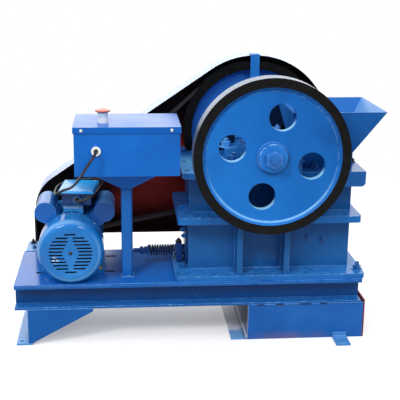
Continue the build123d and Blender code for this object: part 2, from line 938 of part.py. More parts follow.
motor_body -= across(motor_x, motor_z, motor_shaft_radius + running_fit, cover_front, shoulder)
nodes["motor_body"] = [motor_body]

# Fan cover: a domed cup with rows of slots around a blank diamond
def cup_face(radius, round_radius, y_front):
    flat = radius - round_radius
    arc_mid = (flat + round_radius * sin(pi / 4), y_front + round_radius * (1 - cos(pi / 4)))
    return make_face([
        Line((0, y_front), (flat, y_front)),
        ThreePointArc((flat, y_front), arc_mid, (radius, y_front + round_radius)),
        Line((radius, y_front + round_radius), (radius, cover_end)),
        Line((radius, cover_end), (0, cover_end)),
        Line((0, cover_end), (0, y_front)),
    ])


cover_bore = cover_radius - cover_sheet
cover_face = cup_face(cover_radius, cover_round, cover_front)
cover_face -= cup_face(cover_bore, cover_round - cover_sheet, cover_front + cover_sheet)
cover = Pos(motor_x, 0, motor_z) * revolve(cover_face, Axis.Y)
ring_start = cover_end - cover_ring_width
cover_ring = across(motor_x, motor_z, cover_bore, ring_start, cover_end)
cover_ring -= across(motor_x, motor_z, stator_radius + fin_height, ring_start, cover_end)
cover += cover_ring
slots = []
for i in range(grille_rows):
    z = (i - (grille_rows - 1) / 2) * grille_pitch
    if i in (0, grille_rows - 1):
        slots.append(Pos(0, z) * Rectangle(2 * grille_end_slot, grille_slot))
        continue
    outer = sqrt(grille_radius ** 2 - z ** 2)
    inner = max(grille_least_gap, grille_half_gap - grille_gap_slope * abs(z))
    for sign in (-1, 1):
        slots.append(Pos(sign * (outer + inner) / 2, z) * Rectangle(outer - inner, grille_slot))
slot_cut = extrude(Sketch() + slots, 2 * cover_sheet)
cover -= Pos(motor_x, cover_front + 1.5 * cover_sheet, motor_z) * Rot(90, 0, 0) * slot_cut
cover -= across(motor_x, motor_z, cover_hole, cover_front, cover_front + cover_sheet)
nodes["fan_cover"] = [cover]

# Rotor: shaft, cooling fan and belt pulley
fan_front = cover_front + fan_setback
shaft_nose = fan_front - cover_sheet
nodes["motor_shaft"] = [across(motor_x, motor_z, motor_shaft_radius, shaft_nose, pulley_y1)]
fan_profile = Circle(fan_hub_radius) - Circle(motor_shaft_radius)
for i in range(fan_blades):
    blade_length = fan_radius - fan_hub_radius + fan_blade_thick
    blade = Pos(fan_radius - blade_length / 2, 0) * Rectangle(blade_length, fan_blade_thick)
    fan_profile += Rot(0, 0, i * 360 / fan_blades) * blade
fan = extrude(fan_profile, fan_width)
fan += extrude(Circle(fan_radius) - Circle(motor_shaft_radius), fan_blade_thick)
nodes["motor_fan"] = [Pos(motor_x, fan_front + fan_width, motor_z) * Rot(90, 0, 0) * fan]

pulley_points = [(motor_shaft_radius, pulley_y0), (pulley_radius, pulley_y0)]
for centre in belt_y:
    pulley_points += groove_points(pulley_radius, centre)
pulley_points += [(pulley_radius, pulley_y1), (motor_shaft_radius, pulley_y1)]
nodes["motor_pulley"] = [turned(pulley_points, motor_x, motor_z)]

# Terminal box on the motor, turned a little askew, its bevelled lid in one with it
lid_under = terminal_top - terminal_lid
body_under = lid_under - terminal_body_high
terminal_place = Pos(terminal_x, terminal_y, 0) * Rot(0, 0, terminal_turn)


def terminal_block(width, shift, setback, z0, z1):
    half_y = terminal_depth / 2 - setback
    return terminal_place * block(shift - width / 2, shift + width / 2, -half_y, half_y, z0, z1)


terminal_cap = terminal_block(terminal_width, 0, 0, lid_under, terminal_top)
terminal_cap = chamfer(terminal_cap.edges().group_by(Axis.Z)[-1], terminal_bevel)
terminal = terminal_cap + terminal_block(terminal_body, 0, terminal_setback, body_under, lid_under)
terminal += terminal_block(
    terminal_neck, terminal_neck_shift, terminal_neck_setback, motor_z + terminal_neck_foot, body_under,
)
fin_clear = stator_radius + fin_height + saddle_clear
stator_clear = across(motor_x, motor_z, fin_clear, 0, stator_end)
terminal -= stator_clear
terminal -= across(motor_x, motor_z, cover_radius + saddle_clear, 0, cover_end + saddle_clear)
nodes["terminal_box"] = [terminal]


# Capacitor covers: round tops on straight sides, saddled on the stator
def capacitor(offset):
    dx, dz = offset
    reach = sqrt(dx ** 2 + dz ** 2)
    shape = Circle(capacitor_radius)
    shape += Pos(-(reach - capacitor_root) / 2, 0) * Rectangle(reach - capacitor_root, 2 * capacitor_leg)
    shape = Rot(0, 0, degrees(atan2(dz, dx))) * Pos(reach, 0) * shape
    solid = extrude(shape, capacitor_length)
    solid = Pos(motor_x, capacitor_start + capacitor_length, motor_z) * Rot(90, 0, 0) * solid
    solid -= stator_clear
    solid -= across(motor_x, motor_z, cover_radius + saddle_clear, 0, cover_end + saddle_clear)
    return solid


nodes["capacitor_covers"] = [capacitor(capacitor_left), capacitor(capacitor_right)]

# V-belts as closed loops in their grooves
big = wheel_radius - belt_below_rim
small = pulley_radius - belt_below_rim
centre_dx = crank_x - motor_x
centre_dz = crank_z - motor_z
centre_gap = sqrt(centre_dx ** 2 + centre_dz ** 2)
centre_tilt = atan2(centre_dz, centre_dx)
spread = asin((big - small) / centre_gap)


def loop_point(cx, cz, radius, angle):
    return (cx + radius * cos(angle), cz + radius * sin(angle))


upper = centre_tilt + spread + pi / 2
lower = centre_tilt - spread - pi / 2
far = centre_tilt
near = centre_tilt + pi


def belt(y):
    a = loop_point(motor_x, motor_z, small, lower)
    b = loop_point(crank_x, crank_z, big, lower)
    c = loop_point(crank_x, crank_z, big, far)
    d = loop_point(crank_x, crank_z, big, upper)
    e = loop_point(motor_x, motor_z, small, upper)
    f = loop_point(motor_x, motor_z, small, near)
    path = Wire([
        Edge.make_line((a[0], y, a[1]), (b[0], y, b[1])),
        Edge.make_three_point_arc((b[0], y, b[1]), (c[0], y, c[1]), (d[0], y, d[1])),
        Edge.make_line((d[0], y, d[1]), (e[0], y, e[1])),
        Edge.make_three_point_arc((e[0], y, e[1]), (f[0], y, f[1]), (a[0], y, a[1])),
    ])
    ahead = Vector(b[0] - a[0], 0, b[1] - a[1]).normalized()
    inward = Vector(-ahead.Z, 0, ahead.X)
    middle = Vector((a[0] + b[0]) / 2, y, (a[1] + b[1]) / 2)
    section = Plane(origin=middle, x_dir=Vector(0, 1, 0), z_dir=ahead)
    side_sign = 1 if section.y_dir.dot(inward) > 0 else -1
    outline = [
        (-belt_top / 2, 0),
        (belt_top / 2, 0),
        (belt_foot / 2, side_sign * belt_high),
        (-belt_foot / 2, side_sign * belt_high),
    ]
    start = Plane(origin=Vector(a[0], y, a[1]), x_dir=Vector(0, 1, 0), z_dir=ahead)
    face = start * make_face(Polyline(*outline, close=True))
    return sweep(face, path=path)


nodes["v_belts"] = [belt(y) for y in belt_y]

# Belt guard: an open pan whose rim follows the two wheels
guard_big = wheel_radius + guard_clear
small_x = guard_left + guard_small_radius
guard_dx = crank_x - small_x
guard_dz = crank_z - guard_small_z
guard_gap = sqrt(guard_dx ** 2 + guard_dz ** 2)
guard_tilt = atan2(guard_dz, guard_dx) + asin((guard_big - guard_small_radius) / guard_gap)
rim_up = guard_tilt + pi / 2
corner_dx = crank_x - guard_corner_x
corner_dz = crank_z - guard_corner_z
corner_gap = sqrt(corner_dx ** 2 + corner_dz ** 2)
corner_tilt = atan2(corner_dz, corner_dx) - asin(guard_big / corner_gap)
rim_low = corner_tilt - pi / 2


def guard_outline(inset):
    r1 = guard_small_radius - inset
    r2 = guard_big - inset
    left = guard_left + inset
    p1 = (left, guard_small_z)
    p2 = loop_point(small_x, guard_small_z, r1, rim_up)
    p12 = loop_point(small_x, guard_small_z, r1, (pi + rim_up) / 2)
    p3 = loop_point(crank_x, crank_z, r2, rim_up)
    p4 = loop_point(crank_x, crank_z, r2, rim_low)
    p34 = loop_point(crank_x, crank_z, r2, (rim_up + rim_low) / 2)
    p5 = (guard_corner_x, guard_corner_z + inset)
    p6 = (guard_step_end, guard_corner_z + inset)
    p7 = (guard_step_start, guard_bottom + inset)
    p0 = (left, guard_bottom + inset)
    return make_face([
        Line(p0, p1),
        ThreePointArc(p1, p12, p2),
        Line(p2, p3),
        ThreePointArc(p3, p34, p4),
        Line(p4, p5),
        Line(p5, p6),
        Line(p6, p7),
        Line(p7, p0),
    ])


def guard_solid(inset, y0, y1):
    return extrude(Plane.XZ.offset(-y1) * guard_outline(inset), y1 - y0)


guard = guard_solid(0, guard_front, guard_rear)
guard -= guard_solid(guard_sheet, guard_front, guard_rear - guard_sheet)
nodes["belt_guard"] = [guard]

# Guard bracket: an angle on the rear rail with a leg up the back of the guard
bracket_end = guard_bracket_start + guard_bracket_width
guard_bracket = block(
    guard_bracket_start, bracket_end, frame_width, frame_width + guard_bracket_sheet, rail_under + deck_thick,
    deck_top,
)
guard_bracket += block(
    guard_bracket_start, bracket_end, frame_width, guard_bracket_rear, deck_top - guard_bracket_sheet,
    deck_top,
)
guard_bracket += block(
    bracket_end - guard_leg_width, bracket_end, guard_rear, guard_rear + guard_leg_thick, deck_top,
    deck_top + guard_leg_high,
)
nodes["guard_bracket"] = [guard_bracket]

# Stay from the rear bearing cap to the guard's rim
rim_top = crank_z + guard_big
stay_top = rim_top + stay_thick
stay_front = 2 * mid_y - block_front + stay_gap
stay_x0 = crank_x + stay_offset - stay_width / 2
stay_x1 = stay_x0 + stay_width
stay = block(stay_x0, stay_x1, stay_front, stay_front + stay_thick, cap_flat, stay_top)
stay += block(stay_x0, stay_x1, stay_front - stay_foot, stay_front, cap_flat, cap_flat + stay_thick)
stay += block(stay_x0, stay_x1, stay_front, guard_front + stay_lap, rim_top, stay_top)
nodes["guard_stay"] = [stay]

# Control post with a folded head plate
post_half = post_size / 2
post = rounded_plate(
    post_x - post_half, post_x + post_half, post_y - post_half, post_y + post_half, deck_top, post_top,
    post_corner,
)
post_bore = post_half - post_wall
post -= block(
    post_x - post_bore, post_x + post_bore, post_y - post_bore, post_y + post_bore, deck_top, post_top,
)
nodes["control_post"] = [post]


def post_head(inset):
    foot_face = Pos(post_x, post_y, post_top) * Rectangle(post_size - 2 * inset, post_size - 2 * inset)
    head_face = Pos(post_x, post_y, box_under) * Rectangle(head_width - 2 * inset, head_depth - 2 * inset)
    return loft([foot_face.face(), head_face.face()], ruled=True)


nodes["post_bracket"] = [post_head(0) - post_head(head_sheet)]

# Control box: a folded tray under a lid with a deep skirt
bx0 = box_x - box_width / 2
bx1 = box_x + box_width / 2
by0 = box_y - box_depth / 2
by1 = box_y + box_depth / 2
grommet_z = box_under + grommet_rise
tray_top = lid_top - box_sheet
tray = block(bx0, bx1, by0, by1, box_under, tray_top)
tray -= block(
    bx0 + box_sheet, bx1 - box_sheet, by0 + box_sheet, by1 - box_sheet, box_under + box_sheet, tray_top,
)
tray -= across(grommet_x, grommet_z, grommet_radius - grommet_wall, by0, by0 + box_sheet)
nodes["control_box"] = [tray]
lid = block(
    bx0 - lid_proud, bx1 + lid_proud, by0 - lid_proud, by1 + lid_proud, lid_top - lid_skirt, lid_top,
)
lid -= block(
    bx0 - lid_fit, bx1 + lid_fit, by0 - lid_fit, by1 + lid_fit, lid_top - lid_skirt, tray_top,
)
lid -= upright(button_x, button_y, button_hole, tray_top, lid_top)
nodes["control_box_lid"] = [lid]

# Stop button: a flat mushroom head on a skirt that slides in the collar
collar_top = lid_top + collar_high
collar = upright(button_x, button_y, collar_radius, lid_top, collar_top)
collar -= upright(button_x, button_y, stem_radius + stem_clear, lid_top, collar_top)
collar -= upright(button_x, button_y, skirt_radius + stem_clear, lid_top + collar_floor, collar_top)
nodes["stop_button_collar"] = [collar]
head_under = lid_top + button_lift
head_edge = head_under + button_edge
head_rim = head_edge + button_rim
head_top = head_rim + button_dome
skirt_foot = lid_top + skirt_lift
stem_foot = lid_top - stem_below
dome_radius = (button_radius ** 2 + button_dome ** 2) / (2 * button_dome)
dome_centre = head_top - dome_radius
dome_half = asin(button_radius / dome_radius) / 2
dome_mid = (dome_radius * sin(dome_half), dome_centre + dome_radius * cos(dome_half))
button_face = make_face([
    Line((0, stem_foot), (stem_radius, stem_foot)),
    Line((stem_radius, stem_foot), (stem_radius, skirt_foot)),
    Line((stem_radius, skirt_foot), (skirt_radius, skirt_foot)),
    Line((skirt_radius, skirt_foot), (skirt_radius, head_under)),
    Line((skirt_radius, head_under), (button_radius - button_flare, head_edge - button_rim)),
    Line((button_radius - button_flare, head_edge - button_rim), (button_radius, head_edge)),
    Line((button_radius, head_edge), (button_radius, head_rim)),
    ThreePointArc((button_radius, head_rim), dome_mid, (0, head_top)),
    Line((0, head_top), (0, stem_foot)),
])
button = Pos(button_x, button_y, 0) * revolve(Plane.XZ * button_face, Axis.Z)
nodes["stop_button"] = [button]

# Cable glands: the grommet in the control box and the ring in the terminal box
gland_z = lid_under - gland_drop
gland_seat = -terminal_depth / 2 + terminal_setback
gland_mouth = gland_seat - gland_length
grommet = across(grommet_x, grommet_z, grommet_radius, by0 - grommet_proud, by0)
gland = terminal_place * across(gland_shift, gland_z, gland_radius, gland_mouth, gland_seat)
nodes["cable_glands"] = [grommet, gland]

# Motor lead: out of the control box, round the terminal box and into its gland
lead_start = by0 - grommet_proud
lead_points = [
    (grommet_x, lead_start, grommet_z),
    (grommet_x, lead_start - lead_nose, grommet_z),
    (216, -66, 520),
    (207.5, -70, 501),
    (198, -60, 481),
    (188, -39, 462),
    (178, -11, 445),
    (165, 20, 428),
    (148, 48, 415),
    (129, 70, 405),
    (112, 88, 390),
    (105, 118, 380),
    (103, 160, 380),
    (108, 204, 384),
    (133, 235, 388),
    (177, 242, 392),
    (217, 231, 396),
    (236, 198, 399),
    (231, 156, 399),
    (225, 118, 399),
    (220, 86, 398),
    (215, 68, 395),
    (204, 56.5, 390.5),
    (190, 50, 384.5),
    (175.5, 53.5, 378.5),
    (163.7, 66.5, gland_z),
    (165.06, 82.0, gland_z),
]
lead_vectors = [Vector(*point) for point in lead_points]
lead_runs = [b - a for a, b in zip(lead_vectors, lead_vectors[1:])]
lead_radii = []
for a, b in zip(lead_runs, lead_runs[1:]):
    half_turn = radians(a.get_angle(b)) / 2
    lead_radii.append(0.45 * min(a.length, b.length) / tan(half_turn))
lead_path = FilletPolyline(*lead_vectors, radius=lead_radii)
lead_end = Plane(origin=lead_path @ 0, z_dir=lead_path % 0)
lead = sweep(lead_end * Circle(lead_radius), path=lead_path)
nodes["motor_lead"] = [lead]
print("lead radii", [round(radius, 1) for radius in lead_radii])
print("lead runs", [round(run.length, 1) for run in lead_runs])
lead_section = pi * lead_radius ** 2
print("lead length", round(lead_path.length, 1))
print("volume over section and length", round(lead.volume / (lead_section * lead_path.length), 5))

# Move to the part's origin and write one file a node
os.makedirs("parts", exist_ok=True)
place = Pos(-origin_x, -origin_y, 0)
for name, solids in nodes.items():
    moved = [place * solid for solid in solids]
    shape = moved[0] if len(moved) == 1 else Compound(children=moved)
    export_step(shape, "parts/" + name + ".step")
print(len(nodes), "nodes")
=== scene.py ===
import bpy
import bmesh
import math
import random
from mathutils import Matrix, Vector


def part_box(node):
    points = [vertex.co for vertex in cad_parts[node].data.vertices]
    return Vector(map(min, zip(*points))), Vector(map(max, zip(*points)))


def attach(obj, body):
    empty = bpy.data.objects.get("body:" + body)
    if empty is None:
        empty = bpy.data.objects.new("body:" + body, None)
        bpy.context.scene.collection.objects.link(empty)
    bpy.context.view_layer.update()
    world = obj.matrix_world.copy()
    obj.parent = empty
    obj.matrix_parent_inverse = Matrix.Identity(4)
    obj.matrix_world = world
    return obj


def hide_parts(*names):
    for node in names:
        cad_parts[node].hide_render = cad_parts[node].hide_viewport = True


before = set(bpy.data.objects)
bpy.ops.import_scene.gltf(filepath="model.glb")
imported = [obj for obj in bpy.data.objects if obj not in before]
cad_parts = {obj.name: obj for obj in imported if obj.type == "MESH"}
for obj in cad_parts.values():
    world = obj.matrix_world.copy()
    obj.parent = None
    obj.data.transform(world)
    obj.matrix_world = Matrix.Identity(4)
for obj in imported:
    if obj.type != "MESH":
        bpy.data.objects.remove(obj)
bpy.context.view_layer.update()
rng = random.Random(7)

# Places are in working millimetres, from the left front corner of the deck and up from the floor
deck_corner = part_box("deck_plate")[0]
CORNER_X = round(deck_corner.x * -1000, 3)
CORNER_Y = round(deck_corner.y * -1000, 3)


def mm(value):
    return value / 1000


def at_x(value):
    return (value - CORNER_X) / 1000


def at_y(value):
    return (value - CORNER_Y) / 1000


def at_z(value):
    return value / 1000


def place(x, y, z):
    return Vector((at_x(x), at_y(y), at_z(z)))


SIDES = ("left", "front", "under", "right", "rear", "top")


# One side of a CAD node's box, in working millimetres
def side(node, name):
    corner, axis = divmod(SIDES.index(name), 3)
    shift = (CORNER_X, CORNER_Y, 0)[axis]
    return round(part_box(node)[corner][axis] * 1000 + shift, 1)


# Two places set in from the left and right, or front and rear, sides of a node
def inset(node, names, distance):
    low, high = (side(node, name) for name in names)
    return low + distance, high - distance


LEFT_RIGHT = ("left", "right")
FRONT_REAR = ("front", "rear")

# Stand
DECK_TOP = side("deck_plate", "top")
DECK_REAR = side("deck_plate", "rear")
MID_Y = DECK_REAR / 2
RAIL_UNDER = side("frame_rails", "under")
RAIL_FLANGE = 6
CHUTE_LEFT = side("chute_walls", "left")
CHUTE_RIGHT = side("chute_walls", "right")

# Crusher body
BODY_SIDES = inset("side_plates", FRONT_REAR, 0)
BODY_LEFT, BODY_RIGHT = inset("side_plates", LEFT_RIGHT, 0)
RIB_LEFT, RIB_RIGHT = inset("body_ribs", LEFT_RIGHT, 0)
RIB_THICK = 14
BASE_TOP = side("base_flange", "top")
MID_UNDER = side("mid_flange", "under")
MID_TOP = side("mid_flange", "top")
FLANGE_TOP = side("top_flange", "top")

# Turning lines and the flywheels' faces
CRANK_X = sum(inset("front_flywheel", LEFT_RIGHT, 0)) / 2
CRANK_Z = (side("front_flywheel", "under") + side("front_flywheel", "top")) / 2
CRANK = place(CRANK_X, MID_Y, CRANK_Z)
WHEEL_RADIUS = CRANK_X - side("front_flywheel", "left")
HUB_PROUD = 4
FRONT_FACE = side("front_flywheel", "front") + HUB_PROUD
REAR_FACE = side("rear_flywheel", "rear") - HUB_PROUD
REAR_INNER_FACE = side("rear_flywheel", "front") + HUB_PROUD
MOTOR_X = sum(inset("motor_shaft", LEFT_RIGHT, 0)) / 2
MOTOR_Z = (side("motor_shaft", "under") + side("motor_shaft", "top")) / 2
MOTOR = place(MOTOR_X, 0, MOTOR_Z)

# The motor lead's points, from the box's grommet to the motor's gland
ROUTE = [
    (221, -30, 530), (221, -50, 530), (213, -62, 519), (201, -64, 502), (189.5, -55, 483),
    (179.5, -36, 463.5), (170, -11, 446), (159, 18, 429), (148, 48, 415), (129, 70, 405), (112, 88, 390),
    (105, 118, 380), (103, 160, 380), (108, 204, 384), (133, 235, 388), (177, 242, 392), (217, 231, 396),
    (236, 198, 399), (231, 156, 399), (225, 118, 399), (220, 86, 398), (215, 68, 395), (204, 56.5, 390.5),
    (190, 50, 384.5), (175.5, 53.5, 378.5), (163.7, 66.5, 375.5), (165.06, 82.0, 375.5),
]
LEAD_RADIUS = 3.5

# Paint shades that several parts share
DEEP_BLUE = "#10376f"
# Pale blue of settled dust that also paints a sheen on up-facing sides
DUST_AND_TOP_SHEEN = "#58a6e8"
# Pale blue of rubbed edges that also paints a highlight along them
WORN_EDGE_AND_HIGHLIGHT = "#78aee8"
CHIPPED_SPOT = "#b9cbe0"
RUST = "#6b4630"
STEEL = (0.56, 0.57, 0.58, 1)
STEEL_GRAIN = (1, 14, 1)


# A written colour as the linear one that Blender takes
def colour(code):
    parts = [int(code[i:i + 2], 16) / 255 for i in (1, 3, 5)]
    linear = [part / 12.92 if part <= 0.04045 else ((part + 0.055) / 1.055) ** 2.4 for part in parts]
    return (*linear, 1.0)


# The paler shade of a paint's faded patches
def lighter(code):
    red, green, blue, _ = colour(code)
    return min(1, red * 1.35 + 0.004), min(1, green * 1.2 + 0.01), min(1, blue * 1.12 + 0.02), 1.0


def scaled(tint, red, green, blue):
    return tint[0] * red, tint[1] * green, tint[2] * blue, 1


# A mesh, curve, lamp or camera, put in the scene
def add_object(name, data):
    obj = bpy.data.objects.new(name, data)
    bpy.context.scene.collection.objects.link(obj)
    return obj


# One procedural material: short calls that add and join its nodes
class Material:
    def __init__(self, name):
        self.material = bpy.data.materials.new(name)
        self.material.use_nodes = True
        self.tree = self.material.node_tree
        self.tree.nodes.clear()
        self.shader = self.node("BsdfPrincipled")
        self.node("OutputMaterial", self.shader.outputs[0])
        self.place = self.node("TexCoord").outputs["Object"]
        self.normal = self.node("NewGeometry").outputs["Normal"]
        self.x, self.y, self.z = self.split(self.place)
        self.nx, self.ny, self.nz = self.split(self.normal)

    def put(self, socket, value):
        if isinstance(value, bpy.types.NodeSocket):
            self.tree.links.new(value, socket)
        elif isinstance(value, str):
            socket.default_value = colour(value)
        else:
            socket.default_value = value

    def node(self, kind, *values):
        node = self.tree.nodes.new("ShaderNode" + kind)
        for socket, value in zip(node.inputs, values):
            self.put(socket, value)
        return node

    # Sets sockets by name or number, where the value isn't None
    def fill(self, node, values):
        for name, value in values.items():
            if value is not None:
                self.put(node.inputs[name], value)
        return node.outputs[0]

    def split(self, vector):
        return self.node("SeparateXYZ", vector).outputs

    def maths(self, operation, *values):
        node = self.node("Math", *values)
        node.operation = operation
        return node.outputs[0]

    def times(self, first, *others):
        for other in others:
            first = self.maths("MULTIPLY", first, other)
        return first

    def plus(self, a, b):
        return self.maths("ADD", a, b)

    def minus(self, a, b):
        return self.maths("SUBTRACT", a, b)

    def absolute(self, value):
        return self.maths("ABSOLUTE", value)

    def larger(self, a, b):
        return self.maths("MAXIMUM", a, b)

    def length(self, a, b):
        return self.maths("SQRT", self.plus(self.times(a, a), self.times(b, b)))

    # Distance from a line that runs front to back
    def radius(self, centre):
        return self.length(self.minus(self.x, centre.x), self.minus(self.z, centre.z))

    # How far up and to the left of such a line, where a rounded form catches the light
    def lean(self, centre):
        return self.minus(self.times(self.minus(self.z, centre.z), 0.8),
                          self.times(self.minus(self.x, centre.x), 0.6))

    # 0 to 1, smoothly, as the value goes from start to end
    def step(self, value, start, end):
        node = self.node("MapRange", value, start, end)
        node.interpolation_type = "SMOOTHSTEP"
        return node.outputs[0]

    # The same between two places along one axis, or two distances, in working millimetres
    def over_x(self, start, end):
        return self.step(self.x, at_x(start), at_x(end))

    def over_y(self, start, end):
        return self.step(self.y, at_y(start), at_y(end))

    def over_z(self, start, end):
        return self.step(self.z, at_z(start), at_z(end))

    def over(self, distance, start, end):
        return self.step(distance, mm(start), mm(end))

    # 1 over a band of distances: it rises from low to full and falls from fade to end
    def band(self, distance, low, full, fade, end):
        return self.times(self.over(distance, low, full), self.over(distance, end, fade))

    def mix(self, factor, a, b):
        node = self.node("Mix")
        node.data_type = "RGBA"
        self.fill(node, {0: factor, 6: a, 7: b})
        return node.outputs[2]

    def blend(self, factor, a, b):
        return self.fill(self.node("Mix"), {0: factor, 2: a, 3: b})

    # Takes a tint towards a shade by an amount, where all masks are 1
    def tinge(self, tint, shade, amount, *masks):
        return self.mix(self.times(*masks, amount), tint, shade)

    def noise(self, scale, detail=3.0, rough=0.55, stretch=(1, 1, 1), seed=0.0):
        mapping = self.node("Mapping", self.place, (seed, seed * 0.7, seed * 1.3))
        mapping.inputs["Scale"].default_value = stretch
        node = self.node("TexNoise", mapping.outputs[0])
        return self.fill(node, {"Scale": scale, "Detail": detail, "Roughness": rough})

    def bevelled(self, size, samples=4):
        node = self.node("Bevel", size)
        node.samples = samples
        return node.outputs[0]

    # 1 on sharp edges, from the angle between the plain and the bevelled normal
    def edge(self, size):
        node = self.node("VectorMath", self.bevelled(size), self.normal)
        node.operation = "DOT_PRODUCT"
        return self.step(node.outputs["Value"], 0.995, 0.86)

    def bump(self, height, strength, distance, base=None):
        values = {"Strength": strength, "Distance": distance, "Height": height, "Normal": base}
        return self.fill(self.node("Bump"), values)

    def finish(self, tint, rough, normal=None, metal=0.0, coat=0.0, coat_rough=0.1, specular=0.5):
        values = {"Base Color": tint, "Roughness": rough, "Metallic": metal, "Coat Weight": coat,
                  "Coat Roughness": coat_rough, "Specular IOR Level": specular, "Normal": normal}
        self.fill(self.shader, values)
        return self.material


# Painted sheet: broad fading, fine mottle, settled dust with a painted sheen on up-facing sides, rubbed edges
# with a painted highlight along them, and chipped spots
def paint_tint(m, base, light, dark, seed, edge_wear_and_highlight=0.35, dust_and_sheen=0.25, nick=0.5, bevel=0.0015, spots=0.5):
    broad = m.noise(7.0, 4.0, 0.6, seed=seed)
    fine = m.noise(60.0, 4.0, 0.65, seed=seed + 3)
    tint = m.tinge(base, light, 0.7, m.step(broad, 0.45, 0.8))
    tint = m.tinge(tint, dark, 0.35, m.step(broad, 0.5, 0.25))
    tint = m.tinge(tint, light, 0.2 * spots, m.step(fine, 0.5, 0.8))
    tint = m.tinge(tint, dark, 0.2 * spots, m.step(fine, 0.42, 0.2))
    # Up-facing sides: settled dust and a painted sheen
    tint = m.tinge(tint, DUST_AND_TOP_SHEEN, dust_and_sheen, m.step(m.nz, 0.55, 0.95), m.step(fine, 0.3, 0.7))
    # Edges: rubbed paint and a painted highlight along them
    rubbed_and_lit = m.step(m.noise(35.0, 3.0, 0.6, seed=seed + 5), 0.3, 0.6)
    tint = m.tinge(tint, WORN_EDGE_AND_HIGHLIGHT, edge_wear_and_highlight, m.edge(bevel), rubbed_and_lit)
    chips = m.step(m.noise(190.0, 2.0, 0.5, seed=seed + 8), 0.735, 0.75)
    area = m.step(m.noise(14.0, 2.0, 0.5, seed=seed + 9), 0.5, 0.6)
    return m.tinge(tint, CHIPPED_SPOT, nick, chips, area), broad, fine


# Paint on metal: the wear amount gives rubbed edges with a painted highlight along them, the dust amount
# gives settled dust with a painted sheen on up-facing sides, nick is chipped spots, lumps is how uneven it
# lies. Tones, skin and specular may be functions that change it by place.
def paint(name, base, light=None, dark=DEEP_BLUE, seed=0.0, rough=0.3, edge_wear_and_highlight=0.35, dust_and_sheen=0.25, nick=0.5,
          lumps=0.35, coat=0.0, bevel=0.0015, specular=0.15, spots=0.5, tones=None, skin=None):
    m = Material(name)
    tint, broad, _ = paint_tint(m, base, light or lighter(base), dark, seed, edge_wear_and_highlight, dust_and_sheen, nick, bevel, spots)
    if tones:
        tint = tones(m, tint)
    if skin:
        roughness = skin(m)
    else:
        roughness = m.blend(m.step(broad, 0.2, 0.8), rough - 0.05, rough + 0.1)
    if callable(specular):
        specular = specular(m)
    peel = m.noise(330.0, 2.0, 0.5, seed=seed + 1)
    wave = m.noise(28.0, 2.0, 0.5, seed=seed + 2)
    normal = m.bump(m.plus(m.times(peel, 0.35), wave), lumps, 0.0012, m.bevelled(bevel))
    return m.finish(tint, roughness, normal, coat=coat, coat_rough=0.09, specular=specular)


# Smooth plastic of a given tint
def moulded(m, tint, fine, rough, coat):
    normal = m.bump(fine, 0.08, 0.0004, m.bevelled(0.0006))
    return m.finish(tint, m.blend(fine, rough, rough + 0.15), normal, coat=coat)


def plastic(name, tint, rough, seed, coat=0.0):
    m = Material(name)
    fine = m.noise(180.0, 3.0, 0.6, seed=seed)
    tint = m.tinge(tint, scaled(tint, 0.6, 0.6, 0.6), 0.2, m.step(fine, 0.3, 0.8))
    return moulded(m, tint, fine, rough, coat)


def steel(name, tint, rough, seed, rust):
    m = Material(name)
    grain = m.noise(120.0, 3.0, 0.6, STEEL_GRAIN, seed)
    stain = m.noise(22.0, 4.0, 0.6, seed=seed + 2)
    tint = m.tinge(tint, scaled(tint, 0.6, 0.6, 0.6), 0.5, grain)
    tint = m.tinge(tint, RUST, rust, m.step(stain, 0.55, 0.75))
    normal = m.bump(grain, 0.1, 0.0004, m.bevelled(0.0006))
    return m.finish(tint, m.blend(grain, rough, rough + 0.22), normal, metal=0.85)


def rough_metal(name, tint, seed, metal=0.4, rough=0.6):
    m = Material(name)
    coarse = m.noise(90.0, 4.0, 0.65, seed=seed)
    tint = m.mix(m.step(coarse, 0.3, 0.75), tint, scaled(tint, 1.7, 1.6, 1.5))
    normal = m.bump(coarse, 0.35, 0.001, m.bevelled(0.001))
    return m.finish(tint, m.blend(coarse, rough, rough + 0.2), normal, metal=metal)


# Gives CAD nodes their material
def dress(material, *nodes):
    for node in nodes:
        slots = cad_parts[node].data.materials
        slots.clear()
        slots.append(material)


# Painted shade inside the rail channels, darker deeper in
def channel_painted_shade(m, tint):
    depth = m.minus(mm(MID_Y), m.absolute(m.minus(m.y, at_y(MID_Y))))
    upright = m.step(m.absolute(m.ny), 0.5, 0.9)
    return m.tinge(tint, "#0f2750", 0.52, m.over(depth, 4, 20), upright)


# The deck is glossy up to the motor's right side and dull from the post on
def deck_fade(m):
    glossy_to, dull_from = 210, 300
    return m.over_x(glossy_to, dull_from)


def deck_skin(m):
    return m.blend(deck_fade(m), 0.16, 0.6)


def deck_specular(m):
    return m.blend(deck_fade(m), 0.3, 0.1)


# Painted shade, near black, on the cut sides of the two long motor slots, which lie clear of the deck's edges
def slot_painted_shade(m, tint):
    left, right, front = 15, 405, 8
    rear = DECK_REAR - front
    along = m.times(m.over_x(left, left + 5), m.over_x(right, right - 5))
    across = m.times(m.over_y(front, front + 4), m.over_y(rear, rear - 4))
    upright = m.step(m.absolute(m.nz), 0.7, 0.4)
    return m.mix(m.times(along, across, upright), tint, "#06101f")


# Painted shading on the post: painted shade on its rounded corners beside a painted highlight line
def post_painted_shading(m, tint):
    turned = m.split(m.bevelled(mm(10), 8))[0]
    tint = m.tinge(tint, "#4f9be2", 0.3, m.step(m.absolute(m.plus(turned, 0.3)), 0.25, 0.0))
    return m.tinge(tint, "#0d3a78", 0.6, m.step(m.absolute(m.plus(turned, 0.15)), 0.25, 0.8))


